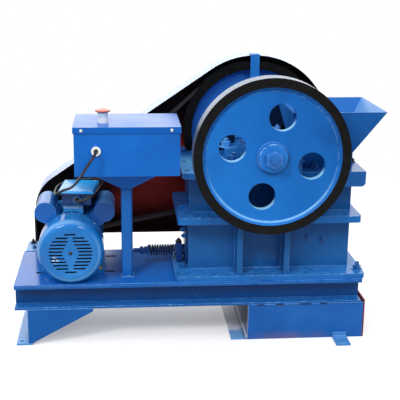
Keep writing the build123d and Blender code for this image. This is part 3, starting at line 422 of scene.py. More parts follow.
# Painted shade on the bracket: its upright leg is near black in front, like the guard's inside beside it;
# below the hook it takes the frame's blue
def bracket_painted_shade(m, tint):
    hook_top, leg_start = 160, 170
    tint = m.mix(m.over_z(hook_top + 2, hook_top - 2), tint, "#145ba6")
    leg = m.over_z(leg_start - 1, leg_start + 1)
    return m.mix(m.times(m.step(m.ny, -0.3, -0.7), leg), tint, "#1d181b")


# Painted shade on the lid's skirt, and its top is glossier
def lid_painted_shade(m, tint):
    return m.tinge(tint, "#0a4a9c", 0.3, m.step(m.nz, 0.6, 0.3))


def lid_specular(m):
    return m.blend(m.step(m.nz, 0.3, 0.6), 0.1, 0.5)


# Painted light on the hopper: pale inside of the right plate, brighter inside of the rear plate, bright
# outside of the left plate
def hopper_painted_light(m, tint):
    leftward = m.step(m.nx, -0.3, -0.6)
    forward = m.step(m.ny, -0.5, -0.8)
    tint = m.tinge(tint, "#7fb6ec", 0.7, leftward, m.step(m.nz, 0.1, 0.4))
    tint = m.tinge(tint, "#2f8be0", 0.15, forward, m.step(m.nz, 0.1, 0.3))
    return m.tinge(tint, "#3f98ea", 0.6, leftward, m.step(m.nz, 0.0, -0.2))


# Painted light: bright end of the top flange beside the control box
def flange_end_painted_light(m, tint):
    right, rear, front = 535, 240, 120
    end = m.over_x(right, right - 30)
    top = m.over_z(FLANGE_TOP - 13, FLANGE_TOP - 1)
    return m.tinge(tint, "#7accff", 0.9, m.step(m.nz, 0.5, 0.9), end, top, m.over_y(rear, front))


# Domed fan cover: painted highlight on the shoulder at the top left, painted shade on the outer rim, a
# painted highlight along the fold line, and one flaked patch
def cover_painted_light_and_flakes(m, tint):
    fold_radius, shoulder_radius, rim_radius = 73, 76, 83
    patch_middle, patch_radius = place(110, 0, 238), 13
    r = m.radius(MOTOR)
    lean = m.lean(MOTOR)
    forward = m.step(m.ny, -0.05, -0.3)
    shoulder = m.over(r, shoulder_radius, shoulder_radius + 6)
    tint = m.tinge(tint, "#9ccdf4", 0.35, shoulder, forward, m.over(lean, 20, 70))
    tint = m.tinge(tint, "#0c4a94", 0.4, m.over(r, rim_radius, rim_radius + 4), forward)
    fold = m.band(r, fold_radius - 3, fold_radius, fold_radius + 2, fold_radius + 6)
    tint = m.tinge(tint, "#7fc0f4", 0.35, fold, m.over(lean, 30, -50))
    patch = m.over(m.radius(patch_middle), patch_radius, patch_radius - 7)
    flakes = m.step(m.noise(210.0, 2.0, 0.5, seed=27.0), 0.5, 0.54)
    return m.tinge(tint, "#d5e4f6", 0.9, patch, m.step(m.ny, -0.5, -0.9), flakes)


# Painted shade on the right capacitor cover's end, and a painted highlight on its upper side
def right_cover_painted_light(m, tint):
    right_cover = m.over_x(185, 195)
    tint = m.tinge(tint, "#0a2f6c", 0.6, right_cover, m.step(m.ny, -0.5, -0.9))
    upper = m.step(m.plus(m.times(m.nx, 0.6), m.nz), 0.3, 0.9)
    return m.tinge(tint, "#66b0f4", 0.85, upper, m.step(m.ny, -0.6, -0.3), right_cover)


# Terminal box: painted light on the lid and at its foot, painted shade on the body under the lid, a pale
# streaked band at the foot painted as a highlight, and a painted highlight towards the lid's left end
def terminal_painted_light(m, tint):
    lid_under, foot_top, band_under, pale_end = 391, 357, 343, 125
    lid = m.over_z(lid_under, lid_under + 2)
    foot = m.over_z(foot_top, foot_top - 3)
    highlight_band = m.over_z(band_under, band_under + 4)
    tint = m.mix(lid, m.tinge(tint, "#0d2857", 0.8), "#33a6f2")
    tint = m.tinge(tint, "#3b98e0", 0.8, foot)
    streaks = m.step(m.noise(300.0, 4.0, 0.7, (0.15, 1.0, 1.0), 29.0), 0.3, 0.7)
    tint = m.tinge(tint, "#b4c4d4", 0.7, foot, highlight_band, streaks)
    return m.tinge(tint, "#b4d4f0", 0.25, lid, m.over_x(pale_end + 40, pale_end))


# Paint of the stand
dress(paint("blue_frame", "#145ba6", seed=1.0, dust_and_sheen=0.2, lumps=0.15), "cross_members", "leg_gussets")
dress(paint("blue_rail", "#145ba6", seed=2.0, dust_and_sheen=0.15, lumps=0.15, edge_wear_and_highlight=0.8, bevel=0.002,
            tones=channel_painted_shade), "frame_rails")
dress(paint("blue_deck", "#1063bc", seed=3.0, dust_and_sheen=0.05, specular=deck_specular, lumps=0.05, edge_wear_and_highlight=0.9,
            bevel=0.0022, tones=slot_painted_shade, skin=deck_skin), "deck_plate")
# Paler blue that paints the light on the foot plate's top
dress(paint("blue_foot", "#4788cc", seed=3.5, dust_and_sheen=0.5, specular=0.5, rough=0.2, lumps=0.05),
      "left_foot_plate")
dress(paint("blue_lug", "#4683c0", seed=1.9, dust_and_sheen=0.4, lumps=0.1, nick=0.8, edge_wear_and_highlight=0.8), "anchor_lugs")
# The bracket's pale blue paints the light on its top plate
dress(paint("blue_bracket", "#7faad8", seed=3.8, dust_and_sheen=0.3, specular=0.3, lumps=0.1, tones=bracket_painted_shade),
      "guard_bracket")
dress(paint("blue_stay", "#1f6cba", seed=1.7, dust_and_sheen=0.4, lumps=0.1), "guard_stay")
dress(paint("red_primer", "#6d1619", light="#8a2423", dark="#3a0d0f", seed=51.0, rough=0.5, edge_wear_and_highlight=0.2,
            dust_and_sheen=0.05, nick=0.1), "chute_end_plate")

# Paint of the control
dress(paint("blue_post", "#1562b2", seed=1.5, dust_and_sheen=0.1, lumps=0.15, rough=0.22, bevel=0.009, edge_wear_and_highlight=0.0,
            tones=post_painted_shading), "control_post")
dress(paint("blue_box", "#1164be", seed=9.0, lumps=0.04, nick=0.1, edge_wear_and_highlight=0.6, dust_and_sheen=0.05, spots=0.1),
      "control_box", "post_bracket")
dress(paint("blue_lid", "#1164be", seed=10.0, lumps=0.0, nick=0.1, edge_wear_and_highlight=0.6, dust_and_sheen=0.0, specular=lid_specular,
            spots=0.1, tones=lid_painted_shade), "control_box_lid")

# Paint of the crusher
dress(paint("blue_body", "#195a99", light="#2870b4", seed=4.0, lumps=0.25, dust_and_sheen=0.1, edge_wear_and_highlight=0.7, bevel=0.002),
      "side_plates", "end_walls", "body_ribs")
dress(paint("blue_flange", "#1a68b4", seed=16.0, rough=0.26, lumps=0.12, edge_wear_and_highlight=0.8, dust_and_sheen=0.4, bevel=0.002,
            spots=0.3), "base_flange", "mid_flange", "toggle_seats")
dress(paint("blue_top", "#1c66b1", seed=17.0, rough=0.26, lumps=0.1, edge_wear_and_highlight=0.8, dust_and_sheen=0.1, bevel=0.002,
            spots=0.3, tones=flange_end_painted_light), "top_flange")
# Paler blue that paints light on the bearing blocks and caps in the wheels' shade
dress(paint("blue_bearing", "#3486d4", light="#63aeee", seed=14.0, rough=0.24, lumps=0.2, edge_wear_and_highlight=0.9, dust_and_sheen=0.5),
      "bearing_blocks", "bearing_caps")
dress(paint("blue_hopper", "#1662b0", seed=12.0, lumps=0.08, nick=0.1, dust_and_sheen=0.1, specular=0.1, spots=0.2,
            edge_wear_and_highlight=0.6, tones=hopper_painted_light), "feed_hopper")
dress(paint("dark_bracket", "#0e3672", seed=15.0, lumps=0.2, dust_and_sheen=0.05), "spring_bracket")
dress(paint("dark_casting", "#174c90", seed=25.0, rough=0.36, lumps=0.7), "swing_jaw", "toggle_plate")
dress(paint("nut_paint", "#1f72c6", light="#4fa0ee", seed=64.0, rough=0.18, edge_wear_and_highlight=1.0, nick=0.7, lumps=0.2,
            specular=0.4, bevel=0.0012), "shaft_nuts")
dress(paint("rod_paint", "#174584", seed=66.0, edge_wear_and_highlight=0.3, dust_and_sheen=0.1, nick=0.3), "tension_rod")
dress(paint("spring_paint", "#0b1c3c", light="#16386e", seed=67.0, edge_wear_and_highlight=0.0, nick=0.1, dust_and_sheen=0.1, bevel=0.0004,
            specular=0.3), "tension_spring")

# Paint of the motor
dress(paint("motor_paint", "#1371be", light="#3196e2", dark="#0d539c", seed=21.0, rough=0.2, lumps=0.06,
            dust_and_sheen=0.35, nick=0.25, coat=0.4, specular=0.05, spots=0.3, tones=cover_painted_light_and_flakes),
      "motor_body", "fan_cover")
dress(paint("capacitor_paint", "#135aa6", light="#2276c6", dark="#0e3a78", seed=23.0, rough=0.2, lumps=0.06,
            dust_and_sheen=0.5, nick=0.2, coat=0.2, specular=0.1, edge_wear_and_highlight=0.9, bevel=0.0022, spots=0.3,
            tones=right_cover_painted_light), "capacitor_covers")
dress(paint("terminal_paint", "#1a62ad", light="#2a80cc", dark="#113f80", seed=24.0, rough=0.18, lumps=0.1,
            dust_and_sheen=0.1, nick=0.2, coat=0.2, tones=terminal_painted_light), "terminal_box")

# Bare metal, rubber and plastic
dress(rough_metal("cast_wear_metal", (0.10, 0.095, 0.09, 1), 61.0), "fixed_jaw_plate", "swing_jaw_plate",
      "cheek_plates")
dress(rough_metal("pulley_iron", (0.07, 0.07, 0.072, 1), 68.0, 0.6, 0.5), "motor_pulley")
dress(steel("bare_steel", STEEL, 0.32, 65.0, 0.15), "motor_shaft")
dress(plastic("fan_plastic", colour("#0a1838"), 0.5, 69.0), "motor_fan")
dress(plastic("belt_rubber", colour("#322c31"), 0.62, 71.0), "v_belts")
dress(plastic("collar_clear", colour("#dfe3e8"), 0.25, 77.0, 0.3), "stop_button_collar")


# Chute walls with reddish dust low down, and a pale cut edge at the apron
def chute_wall_material():
    m = Material("chute_wall_paint")
    tint, _, fine = paint_tint(m, "#155cab", "#216dbd", DEEP_BLUE, 31.0, 0.3, 0.2, 0.3)
    left, right, fade, top = 694, 754, 90, 28
    low = m.times(m.over_z(top, 0), m.over_x(right + fade + 20, right), m.over_x(left - fade, left))
    clouds = m.step(m.noise(18.0, 3.0, 0.6, seed=33.0), 0.1, 0.7)
    tint = m.tinge(tint, "#7a6284", 0.75, low, clouds)
    cut_edge = m.over_x(CHUTE_LEFT + 1.6, CHUTE_LEFT + 0.4)
    tint = m.tinge(tint, "#c4cad6", 0.5, cut_edge, m.step(fine, 0.2, 0.5))
    normal = m.bump(fine, 0.1, 0.0008, m.bevelled(0.0012))
    return m.finish(tint, m.blend(fine, 0.28, 0.45), normal, specular=0.22)


# Bare chute floor: gritty plate, blue overspray at the front, painted shade on the slide and along the fold,
# and a painted highlight on the lip
def chute_floor_material():
    m = Material("bare_chute_steel")
    bend, sheet, spray_rear, spray_front, spray_top = CHUTE_LEFT - 5, 3, 103, 38, 20
    mottled = m.noise(38.0, 5.0, 0.65, seed=41.0)
    streaks = m.noise(120.0, 4.0, 0.7, (0.25, 1.0, 1.0), 43.0)
    grit = m.noise(420.0, 3.0, 0.7, seed=45.0)
    tint = m.mix(m.step(mottled, 0.3, 0.75), "#ffffff", "#dcdfe5")
    tint = m.tinge(tint, "#f2f5fa", 0.6, m.step(streaks, 0.48, 0.7))
    tint = m.tinge(tint, "#7d7368", 0.4, m.step(streaks, 0.42, 0.25))
    tint = m.tinge(tint, "#5f5a55", 0.45, m.step(grit, 0.5, 0.35))
    ragged = m.minus(m.y, m.times(m.minus(mottled, 0.5), 0.06))
    overspray = m.step(ragged, at_y(spray_rear), at_y(spray_front))
    tint = m.tinge(tint, "#4a93d6", 0.9, overspray, m.over_z(spray_top, spray_top - 16))
    # Painted shade on the slide right of the bend
    slide_painted_shade = m.mix(m.step(mottled, 0.35, 0.65), "#4d6790", "#74727a")
    tint = m.tinge(tint, slide_painted_shade, 0.75, m.over_x(bend, bend + 2))
    # Painted shade along the fold
    fold = m.times(m.over_x(bend - 7, bend - 3), m.over_x(bend + 0.8, bend))
    tint = m.tinge(tint, "#4c5567", 0.55, fold)
    # Painted highlight on the sheet's lip
    lip = m.times(m.over_x(bend, bend + 0.6), m.over_x(CHUTE_LEFT + 0.4, CHUTE_LEFT - 0.6))
    tint = m.tinge(tint, "#d3dbee", 0.8, lip, m.over_z(sheet, sheet + 1))
    normal = m.bump(streaks, 0.25, 0.0008)
    return m.finish(tint, m.blend(streaks, 0.5, 0.75), normal, metal=0.05, specular=0.2)


# Steel shaft whose two ends are painted over together with the wheels
def shaft_material(front_end, rear_end):
    m = Material("shaft_finish")
    tint, _, fine = paint_tint(m, "#1c6bbd", "#4f9be2", DEEP_BLUE, 79.0, 0.9, 0.1, 0.5, 0.0008)
    outer = m.larger(m.over_y(front_end + 0.5, front_end - 0.5), m.over_y(rear_end - 0.5, rear_end + 0.5))
    grain = m.noise(120.0, 3.0, 0.6, STEEL_GRAIN, 79.0)
    bare = m.tinge(STEEL, (0.34, 0.34, 0.35, 1), 0.5, grain)
    normal = m.bump(fine, 0.3, 0.0006, m.bevelled(0.0008))
    return m.finish(m.mix(outer, bare, tint), m.blend(fine, 0.22, 0.42), normal,
                    metal=m.blend(outer, 0.85, 0.0), specular=0.3)


# White grommet on the box and dark gland with a bright ring on the motor, each with painted shade, near
# black, in its mouth round the lead
def gland_material():
    m = Material("gland_plastic")
    mouth, throat, between = 5.8, 7.0, 450
    fine = m.noise(180.0, 3.0, 0.6, seed=73.0)
    from_grommet, from_gland = (m.radius(place(*ROUTE[i])) for i in (0, -1))
    grommet = m.mix(m.over(from_grommet, mouth + 0.5, mouth), "#e9ebea", "#0b0b0c")
    gland = m.mix(m.over(from_gland, throat + 0.8, throat), "#1c528f", "#07090e")
    return moulded(m, m.mix(m.over_z(between, between + 1), gland, grommet), fine, 0.25, 0.2)


# Red mushroom head with a paler painted highlight on its top, above its pale skirt
def button_material():
    m = Material("stop_button_finish")
    head_under, pale_top_from = 616.5, 619
    fine = m.noise(160.0, 3.0, 0.6, seed=75.0)
    red = m.mix(m.over_z(pale_top_from, pale_top_from + 6), "#b02a28", "#ec998a")
    skirt = m.mix(m.step(fine, 0.3, 0.7), "#a9bddb", "#c3d2e8")
    head = m.over_z(head_under - 0.2, head_under + 0.2)
    return moulded(m, m.mix(head, skirt, red), fine, 0.25, 0.35)


# Front wheel's web: painted shade towards the upper right and painted light towards the lower left, a painted
# highlight along its seam, painted shade on the cone's upper left, a boss painted lighter with a painted
# highlight on its brim, painted highlights on the hole walls, and a darker band below and right of the boss
def front_web_painted_light(m, tint, r, fine):
    boss_radius, hole_near, hole_far, cone_radius = 37.2, 50, 160, 166
    rise = m.minus(m.z, CRANK.z)
    lean = m.lean(CRANK)
    drift = m.plus(m.times(m.minus(m.x, CRANK.x), 0.7), m.times(rise, 0.5))
    tint = m.tinge(tint, "#0e4488", 0.3, m.over(drift, -60, 140))
    tint = m.tinge(tint, "#2c8be6", 0.25, m.over(drift, 20, -140))
    seam = m.band(r, cone_radius - 0.5, cone_radius + 0.8, cone_radius + 3.5, cone_radius + 6.2)
    broken = m.plus(rise, m.times(m.minus(fine, 0.5), 0.2))
    tint = m.tinge(tint, "#8fcaf8", 0.6, seam, m.over(broken, -30, -140))
    tint = m.tinge(tint, "#8fcaf8", 0.18, seam, m.step(fine, 0.45, 0.6))
    cone = m.band(r, cone_radius, cone_radius + 2.5, cone_radius + 8.5, cone_radius + 11.5)
    tint = m.tinge(tint, "#0f3a72", 0.45, cone, m.over(lean, 30, 130))
    boss = m.over(r, boss_radius, boss_radius - 1)
    tint = m.tinge(tint, "#3a90de", 0.35, boss)
    brim = m.times(m.over(r, boss_radius - 4.7, boss_radius - 2.7), boss, m.over(lean, 0, 20))
    tint = m.tinge(tint, "#9fd0f8", 0.6, brim, m.step(fine, 0.4, 0.6))
    holes = m.band(r, hole_near, hole_near + 5, hole_far - 5, hole_far)
    hole_wall_highlight = m.times(m.step(m.absolute(m.ny), 0.6, 0.3), m.step(m.nz, 0.1, 0.6))
    tint = m.tinge(tint, "#9fdcff", 0.85, hole_wall_highlight, holes)
    hub_foot = m.band(r, boss_radius - 0.4, boss_radius + 0.4, boss_radius + 2.8, hole_near + 2)
    return m.tinge(tint, "#2b4768", 0.4, hub_foot, m.over(lean, 10, -30))


# Flywheel: painted web, black ring on the face, turned rim in front and blackened rim behind; on the rear
# wheel, painted shade, near black, on the web's middle
def wheel_material(name, face_y, seed, web, front):
    m = Material(name)
    tint, broad, fine = paint_tint(m, web, lighter(web), DEEP_BLUE, seed, 0.5, 0.05, 0.9)
    ring_radius, shade_radius = 176.3, 150
    r = m.radius(CRANK)
    depth = m.absolute(m.minus(m.y, at_y(face_y)))
    ragged = m.times(m.minus(m.noise(90.0, 3.0, 0.6, seed=seed + 4), 0.5), mm(1.6))
    annulus = m.over(m.plus(r, ragged), ring_radius, ring_radius + 0.5)
    face = m.times(annulus, m.over(depth, 1.6, 1.1))
    rim = m.times(m.over(r, WHEEL_RADIUS - 2.2, WHEEL_RADIUS - 1.6), m.over(depth, 0.9, 1.4))
    black = m.mix(m.step(fine, 0.35, 0.75), "#08080a", "#131212")
    lathed = m.noise(300.0, 2.0, 0.6, (0.03, 5.0, 0.03), seed + 6)
    turned = m.mix(m.step(lathed, 0.3, 0.75), "#8491a4", "#707c8c")
    turned = m.tinge(turned, "#756b62", 0.25, m.step(broad, 0.5, 0.75))
    if front:
        tint = front_web_painted_light(m, tint, r, fine)
        tint = m.mix(rim, m.mix(face, tint, black), turned)
    else:
        # Painted shade, near black, on the middle of the rear wheel's web
        tint = m.tinge(tint, "#080e1a", 0.9, m.over(r, shade_radius, shade_radius - 30))
        tint = m.mix(rim, m.mix(face, tint, black), "#161413")
        inner_ring = m.over_y(REAR_INNER_FACE + 1.0, REAR_INNER_FACE + 0.6)
        tint = m.mix(m.times(annulus, inner_ring), tint, black)
    skin = m.blend(face, m.blend(fine, 0.3, 0.46), 0.36)
    wave = m.plus(m.times(m.noise(300.0, 2.0, 0.5, seed=seed), 0.3), m.noise(24.0, 2.0, 0.5, seed=seed))
    normal = m.bump(wave, 0.3, 0.001, m.bevelled(0.0016))
    return m.finish(tint, skin, normal, metal=m.times(rim, 0.6 if front else 0.2), specular=0.1)


# Belt guard: blue outside with a painted reflection, pale, on its up-facing edge; red primer inside, with
# painted shade, near black, outside its middle zone and darker towards the bottom
def guard_material():
    m = Material("guard_sheet_finish")
    tint, _, fine = paint_tint(m, "#1f62b2", "#3274c0", "#194f96", 91.0, 0.6, 0.3, 0.5, spots=0.4)
    # Near-black painted shade inside the guard, with the red primer showing in the middle zone
    black = m.mix(m.step(fine, 0.3, 0.8), "#090708", "#1a1112")
    red = m.mix(m.step(m.noise(16.0, 4.0, 0.6, seed=93.0), 0.3, 0.7), "#7c2020", "#9a2a26")
    red_left, red_full, red_top, red_low, bottom, middle_z = 214, 324, 570, 215, 222, 420
    red_zone = m.times(m.over_x(red_left, red_full), m.over_z(red_top, red_top - 160),
                       m.over_z(red_low, red_low + 105))
    # Painted shade, darker towards the bottom inside
    low = m.over_z(bottom + 28, bottom)
    lining = m.tinge(m.mix(red_zone, black, red), "#33181a", 0.5, low)
    # Painted reflection, pale, on the up-facing outside
    tint = m.tinge(tint, "#c6d5ef", 0.8, m.step(m.nz, 0.1, 0.45))
    outward = m.plus(m.times(m.x, m.nx), m.times(m.minus(m.z, at_z(middle_z)), m.nz))
    inward = m.times(m.over(outward, 0, -20), m.step(m.absolute(m.ny), 0.6, 0.3))
    inside = m.larger(m.step(m.ny, -0.5, -0.9), inward)
    normal = m.bump(m.noise(20.0, 2.0, 0.5, seed=95.0), 0.3, 0.001, m.bevelled(0.0008))
    return m.finish(m.mix(inside, tint, lining), m.blend(fine, 0.28, 0.46), normal,
                    specular=m.blend(inside, 0.3, 0.08))


dress(chute_wall_material(), "chute_walls")
dress(chute_floor_material(), "discharge_chute")
dress(shaft_material(FRONT_FACE - 1, REAR_FACE + HUB_PROUD), "eccentric_shaft")
dress(gland_material(), "cable_glands")
dress(button_material(), "stop_button")
dress(wheel_material("front_wheel_finish", FRONT_FACE, 81.0, "#186abc", True), "front_flywheel")
dress(wheel_material("rear_wheel_finish", REAR_FACE, 85.0, "#2160b2", False), "rear_flywheel")
dress(guard_material(), "belt_guard")

# Materials of the small pieces
black_steel = steel("black_bolt", (0.03, 0.032, 0.036, 1), 0.35, 101.0, 0.1)
zinc_steel = steel("zinc_bolt", (0.62, 0.62, 0.6, 1), 0.25, 103.0, 0.05)
yellow_steel = steel("yellow_zinc_bolt", (0.55, 0.45, 0.18, 1), 0.3, 104.0, 0.1)
# Paler blue that paints light on the bearing bolts in the wheels' shade
bearing_bolt_paint = paint("bearing_bolt_paint", "#4f9fe6", light="#8cc8f8", seed=106.0, rough=0.24, edge_wear_and_highlight=0.9,
                           nick=0.8, bevel=0.0006, specular=0.35)
bolt_paint = paint("painted_bolt", "#17579c", seed=105.0, rough=0.24, edge_wear_and_highlight=0.3, nick=0.6, bevel=0.0006,
                   specular=0.25)
weld_paint = paint("weld_paint", "#2069b4", light="#5d9ddd", seed=107.0, rough=0.22, edge_wear_and_highlight=0.7, nick=0.9,
                   lumps=0.9, specular=0.4)
chip_and_highlight_paint = paint("chipped_and_highlight_paint", "#8dbbe8", light="#dbe9f8", seed=109.0, rough=0.4, nick=0.9)
joint_shadow = plastic("joint_shadow", (0.006, 0.008, 0.014, 1), 0.8, 111.0)
lead_sheath = plastic("lead_sheath", colour("#0b0a0a"), 0.34, 115.0)

UP = (0, 0, 1)
DOWN = (0, 0, -1)
FRONT = (0, -1, 0)
REAR = (0, 1, 0)
LEFT = (-1, 0, 0)
RIGHT = (1, 0, 0)
THREAD_PITCH = 1.5

# Bolts: width over the flats, and height of the head, washer and stud
BLOCK_BOLT = (24, 15, 2.5, 7)
CAP_BOLT = (15, 9, 1.5, 5)
TOP_BOLT = (19, 10, 2, 5)
HOPPER_BOLT = (19, 11, 2, 4)
SIDE_BOLT = (13, 7, 1.5, 3)
BASE_BOLT = (15, 8, 1.5, 3)
ANCHOR_BOLT = (19, 10, 1.5, 9)
SPRING_BOLT = (12, 7, 1.2, 3)
GUARD_BOLT = (9, 5, 1.2, 3)
SMALL_BOLT = (11, 7, 1.2)
MOTOR_BOLT = (13, 8, 1.5)

# Screws: radius and height of the head
FLUSH_SCREW = (4.6, 0.6)
LID_SCREW = (4.2, 2.4)
BOX_SCREW = (4.0, 4.0)
COVER_SCREW = (3.0, 1.4)


# Builds one piece out of many small turned forms and blocks; its sizes are in millimetres
class Build:
    def __init__(self):
        self.bm = bmesh.new()

    # A closed turned form: its profile is pairs of radius and distance along the axis, in metres
    def lathe(self, origin, axis, profile, steps, turn=0.0):
        axis = Vector(axis).normalized()
        across = axis.orthogonal().normalized()
        other = axis.cross(across)
        rings = []
        for radius, along in profile:
            middle = origin + axis * along
            ring = []
            for i in range(steps):
                angle = turn + 2 * math.pi * i / steps
                reach = across * math.cos(angle) + other * math.sin(angle)
                ring.append(self.bm.verts.new(middle + reach * radius))
            rings.append(ring)
        for near, far in zip(rings, rings[1:]):
            for i in range(steps):
                j = (i + 1) % steps
                self.bm.faces.new((near[i], near[j], far[j], far[i]))
        self.bm.faces.new(list(reversed(rings[0])))
        self.bm.faces.new(rings[-1])

    def hexagon(self, origin, axis, flat, low, high, turn):
        corner = flat / 2 / math.cos(math.pi / 6)
        chamfer = flat * 0.06
        self.lathe(origin, axis, [(corner, low), (corner, high - chamfer), (corner * 0.9, high)], 6, turn)

    # Hexagon head or nut on a washer, with the threaded end of its stud
    def bolt(self, origin, axis, sizes, turn=0.0):
        flat, head, washer, stud = (mm(size) for size in sizes)
        rim = flat * 0.82
        self.lathe(origin, axis, [(rim, 0), (rim, washer * 0.7), (flat * 0.78, washer)], 24)
        self.hexagon(origin, axis, flat, washer, washer + head, turn)
        crest = flat * 0.3
        top = washer + head
        thread = [(crest, top - mm(0.5))]
        turns = max(2, int(stud / mm(THREAD_PITCH)))
        for i in range(turns):
            low = top + stud * i / turns
            thread += [(crest, low), (crest * 0.88, low + stud / turns * 0.5)]
        thread += [(crest * 0.9, top + stud), (crest * 0.7, top + stud + mm(0.8))]
        self.lathe(origin, axis, thread, 14)

    # Round screw head with its recess
    def screw(self, origin, axis, sizes):
        r, h = (mm(size) for size in sizes)
        profile = [(r, 0), (r * 0.96, h * 0.45), (r * 0.7, h * 0.85), (r * 0.35, h), (r * 0.3, h * 0.6)]
        self.lathe(origin, axis, profile, 18)

    # Weld bead of overlapping uneven drops along a run of points
    def bead(self, points, radius, pitch=3.4, wobble=0.35):
        radius, pitch = mm(radius), mm(pitch)
        for start, end in zip(points, points[1:]):
            along = (end - start).normalized()
            count = max(2, int((end - start).length / pitch))
            for i in range(count):
                r = radius * (1 + wobble * (rng.random() - 0.5))
                stray = Vector([(rng.random() - 0.5) * radius * 0.25 for _ in range(3)])
                centre = start.lerp(end, (i + 0.5) / count) + stray
                drop = [(r * 0.35, 0), (r * 0.85, pitch * 0.4), (r, pitch * 0.95), (r * 0.85, pitch * 1.5),
                        (r * 0.35, pitch * 1.9)]
                self.lathe(centre - along * pitch * 0.95, along, drop, 8)

    # The same bead on the front and the rear face of a part
    def bead_pair(self, start, end, faces, radius, pitch=3.4, wobble=0.35):
        for y in faces:
            self.bead([place(start[0], y, start[1]), place(end[0], y, end[1])], radius, pitch, wobble)

    def chip(self, origin, radius, length):
        r, long = mm(radius), mm(length)
        profile = [(r * 0.3, 0), (r, long * 0.3), (r * 0.8, long * 0.7), (r * 0.2, long)]
        self.lathe(origin, RIGHT, profile, 7)

    def block(self, low, high):
        ring = ((0, 0), (1, 0), (1, 1), (0, 1))
        ends = (low, high)
        verts = [self.bm.verts.new((ends[i].x, ends[j].y, ends[k].z)) for k in (0, 1) for i, j in ring]
        for face in ((3, 2, 1, 0), (4, 5, 6, 7), (0, 1, 5, 4), (1, 2, 6, 5), (2, 3, 7, 6), (3, 0, 4, 7)):
            self.bm.faces.new([verts[i] for i in face])

    def piece(self, name, body, material, smooth=30.0):
        mesh = bpy.data.meshes.new(name)
        bmesh.ops.recalc_face_normals(self.bm, faces=self.bm.faces)
        self.bm.to_mesh(mesh)
        self.bm.free()
        mesh.materials.append(material)
        obj = add_object(name, mesh)
        mesh.shade_smooth()
        mesh.set_sharp_from_angle(angle=math.radians(smooth))
        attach(obj, body)


# Foot bolts of the bearing blocks, and the smaller bolts of their caps
def bearing_bolts():
    foot_high, lug_high, half_block, foot_inset, lug_inset = 20, 14, 32, 6, 2
    foot_top = FLANGE_TOP + foot_high
    lug_top = side("bearing_caps", "under") + lug_high
    build = Build()
    for y in inset("bearing_blocks", FRONT_REAR, half_block):
        for x in inset("bearing_blocks", LEFT_RIGHT, foot_inset):
            build.bolt(place(x, y, foot_top), UP, BLOCK_BOLT, turn=0.3)
        for x in inset("bearing_caps", LEFT_RIGHT, lug_inset):
            build.bolt(place(x, y, lug_top), UP, CAP_BOLT, turn=0.1)
    build.piece("bearing_bolts", "frame", bearing_bolt_paint)


# Painted bolts of the body, its flanges, the spring bracket and the guard bracket
def painted_bolts():
    adjuster_x, anchor_x, bracket_face, bracket_z, hopper_x = 445, 919, 455, 262, 791
    build = Build()
    build.bolt(place(456, 252, FLANGE_TOP), UP, TOP_BOLT)
    for x, z in ((785, 265), (826, 260)):
        for y, outward in zip(BODY_SIDES, (FRONT, REAR)):
            build.bolt(place(x, y, z), outward, SIDE_BOLT)
    for y in inset("side_plates", FRONT_REAR, 15):
        build.bolt(place(adjuster_x, y, BASE_TOP), UP, BASE_BOLT, turn=0.5)
    for y in inset("base_flange", FRONT_REAR, 39):
        build.bolt(place(anchor_x, y, BASE_TOP), UP, ANCHOR_BOLT, turn=0.2)
    for y in inset("spring_bracket", FRONT_REAR, 10):
        build.bolt(place(bracket_face, y, bracket_z), LEFT, SPRING_BOLT)
    build.bolt(place(27, 308, DECK_TOP), UP, GUARD_BOLT)
    for y in inset("top_flange", FRONT_REAR, 49):
        build.bolt(place(hopper_x, y, FLANGE_TOP), UP, HOPPER_BOLT)
    build.piece("painted_bolts", "frame", bolt_paint)


MOTOR_FOOT_TOP = DECK_TOP + 11
MOTOR_FEET = (MOTOR_X - 70, MOTOR_X + 70)
FRONT_FEET_Y = 98
REAR_FEET_Y = 223


# Black bolts and screws, with those of the motor's rear feet
def black_bolts():
    build = Build()
    for x, y, z, stud in ((439, MID_Y, 235, 3), (910, 120, FLANGE_TOP, 2), (20, 354, DECK_TOP, 5)):
        build.bolt(place(x, y, z), UP, (*SMALL_BOLT, stud))
    for x, y in ((453, 37), (453, 144)):
        build.screw(place(x, y, FLANGE_TOP), UP, FLUSH_SCREW)
    for x in MOTOR_FEET:
        build.bolt(place(x, REAR_FEET_Y, MOTOR_FOOT_TOP), UP, (*MOTOR_BOLT, 6), turn=0.3)
    build.piece("black_bolts", "frame", black_steel)


# Yellow bolts of the motor's front feet
def motor_foot_bolts():
    build = Build()
    for x in MOTOR_FEET:
        build.bolt(place(x, FRONT_FEET_Y, MOTOR_FOOT_TOP), UP, (*MOTOR_BOLT, 7), turn=0.2)
    build.piece("motor_foot_bolts", "frame", yellow_steel)


# Screws of the control box lid, box, terminal box lid and fan cover
def bright_screws():
    build = Build()
    lid_screw_z = 582
    for x in (185, 410):
        for y, outward in zip(inset("control_box_lid", FRONT_REAR, 0), (FRONT, REAR)):
            build.screw(place(x, y, lid_screw_z), outward, LID_SCREW)
    build.screw(place(397, 40, side("control_box", "under")), DOWN, BOX_SCREW)
    middle_x, middle_y, half_wide, half_deep = 168, 150, 38, 54
    skew = math.radians(-5)
    for back in (-half_deep, half_deep):
        for across in (-half_wide, half_wide):
            x = middle_x + across * math.cos(skew) - back * math.sin(skew)
            y = middle_y + across * math.sin(skew) + back * math.cos(skew)
            build.screw(place(x, y, side("terminal_box", "top")), UP, COVER_SCREW)
    cover_radius, cover_screw_y = 86.3, 60
    for quarter in range(4):
        angle = math.radians(45 + 90 * quarter)
        outward = Vector((math.cos(angle), 0, math.sin(angle)))
        build.screw(place(MOTOR_X, cover_screw_y, MOTOR_Z) + outward * mm(cover_radius), outward, COVER_SCREW)
    build.piece("bright_screws", "frame", zinc_steel)


# Stitch welds that hold the chute walls under the rails
STITCHES = [(CHUTE_LEFT, 640), (662, 690), (716, 757), (789, 812), (833, CHUTE_RIGHT)]


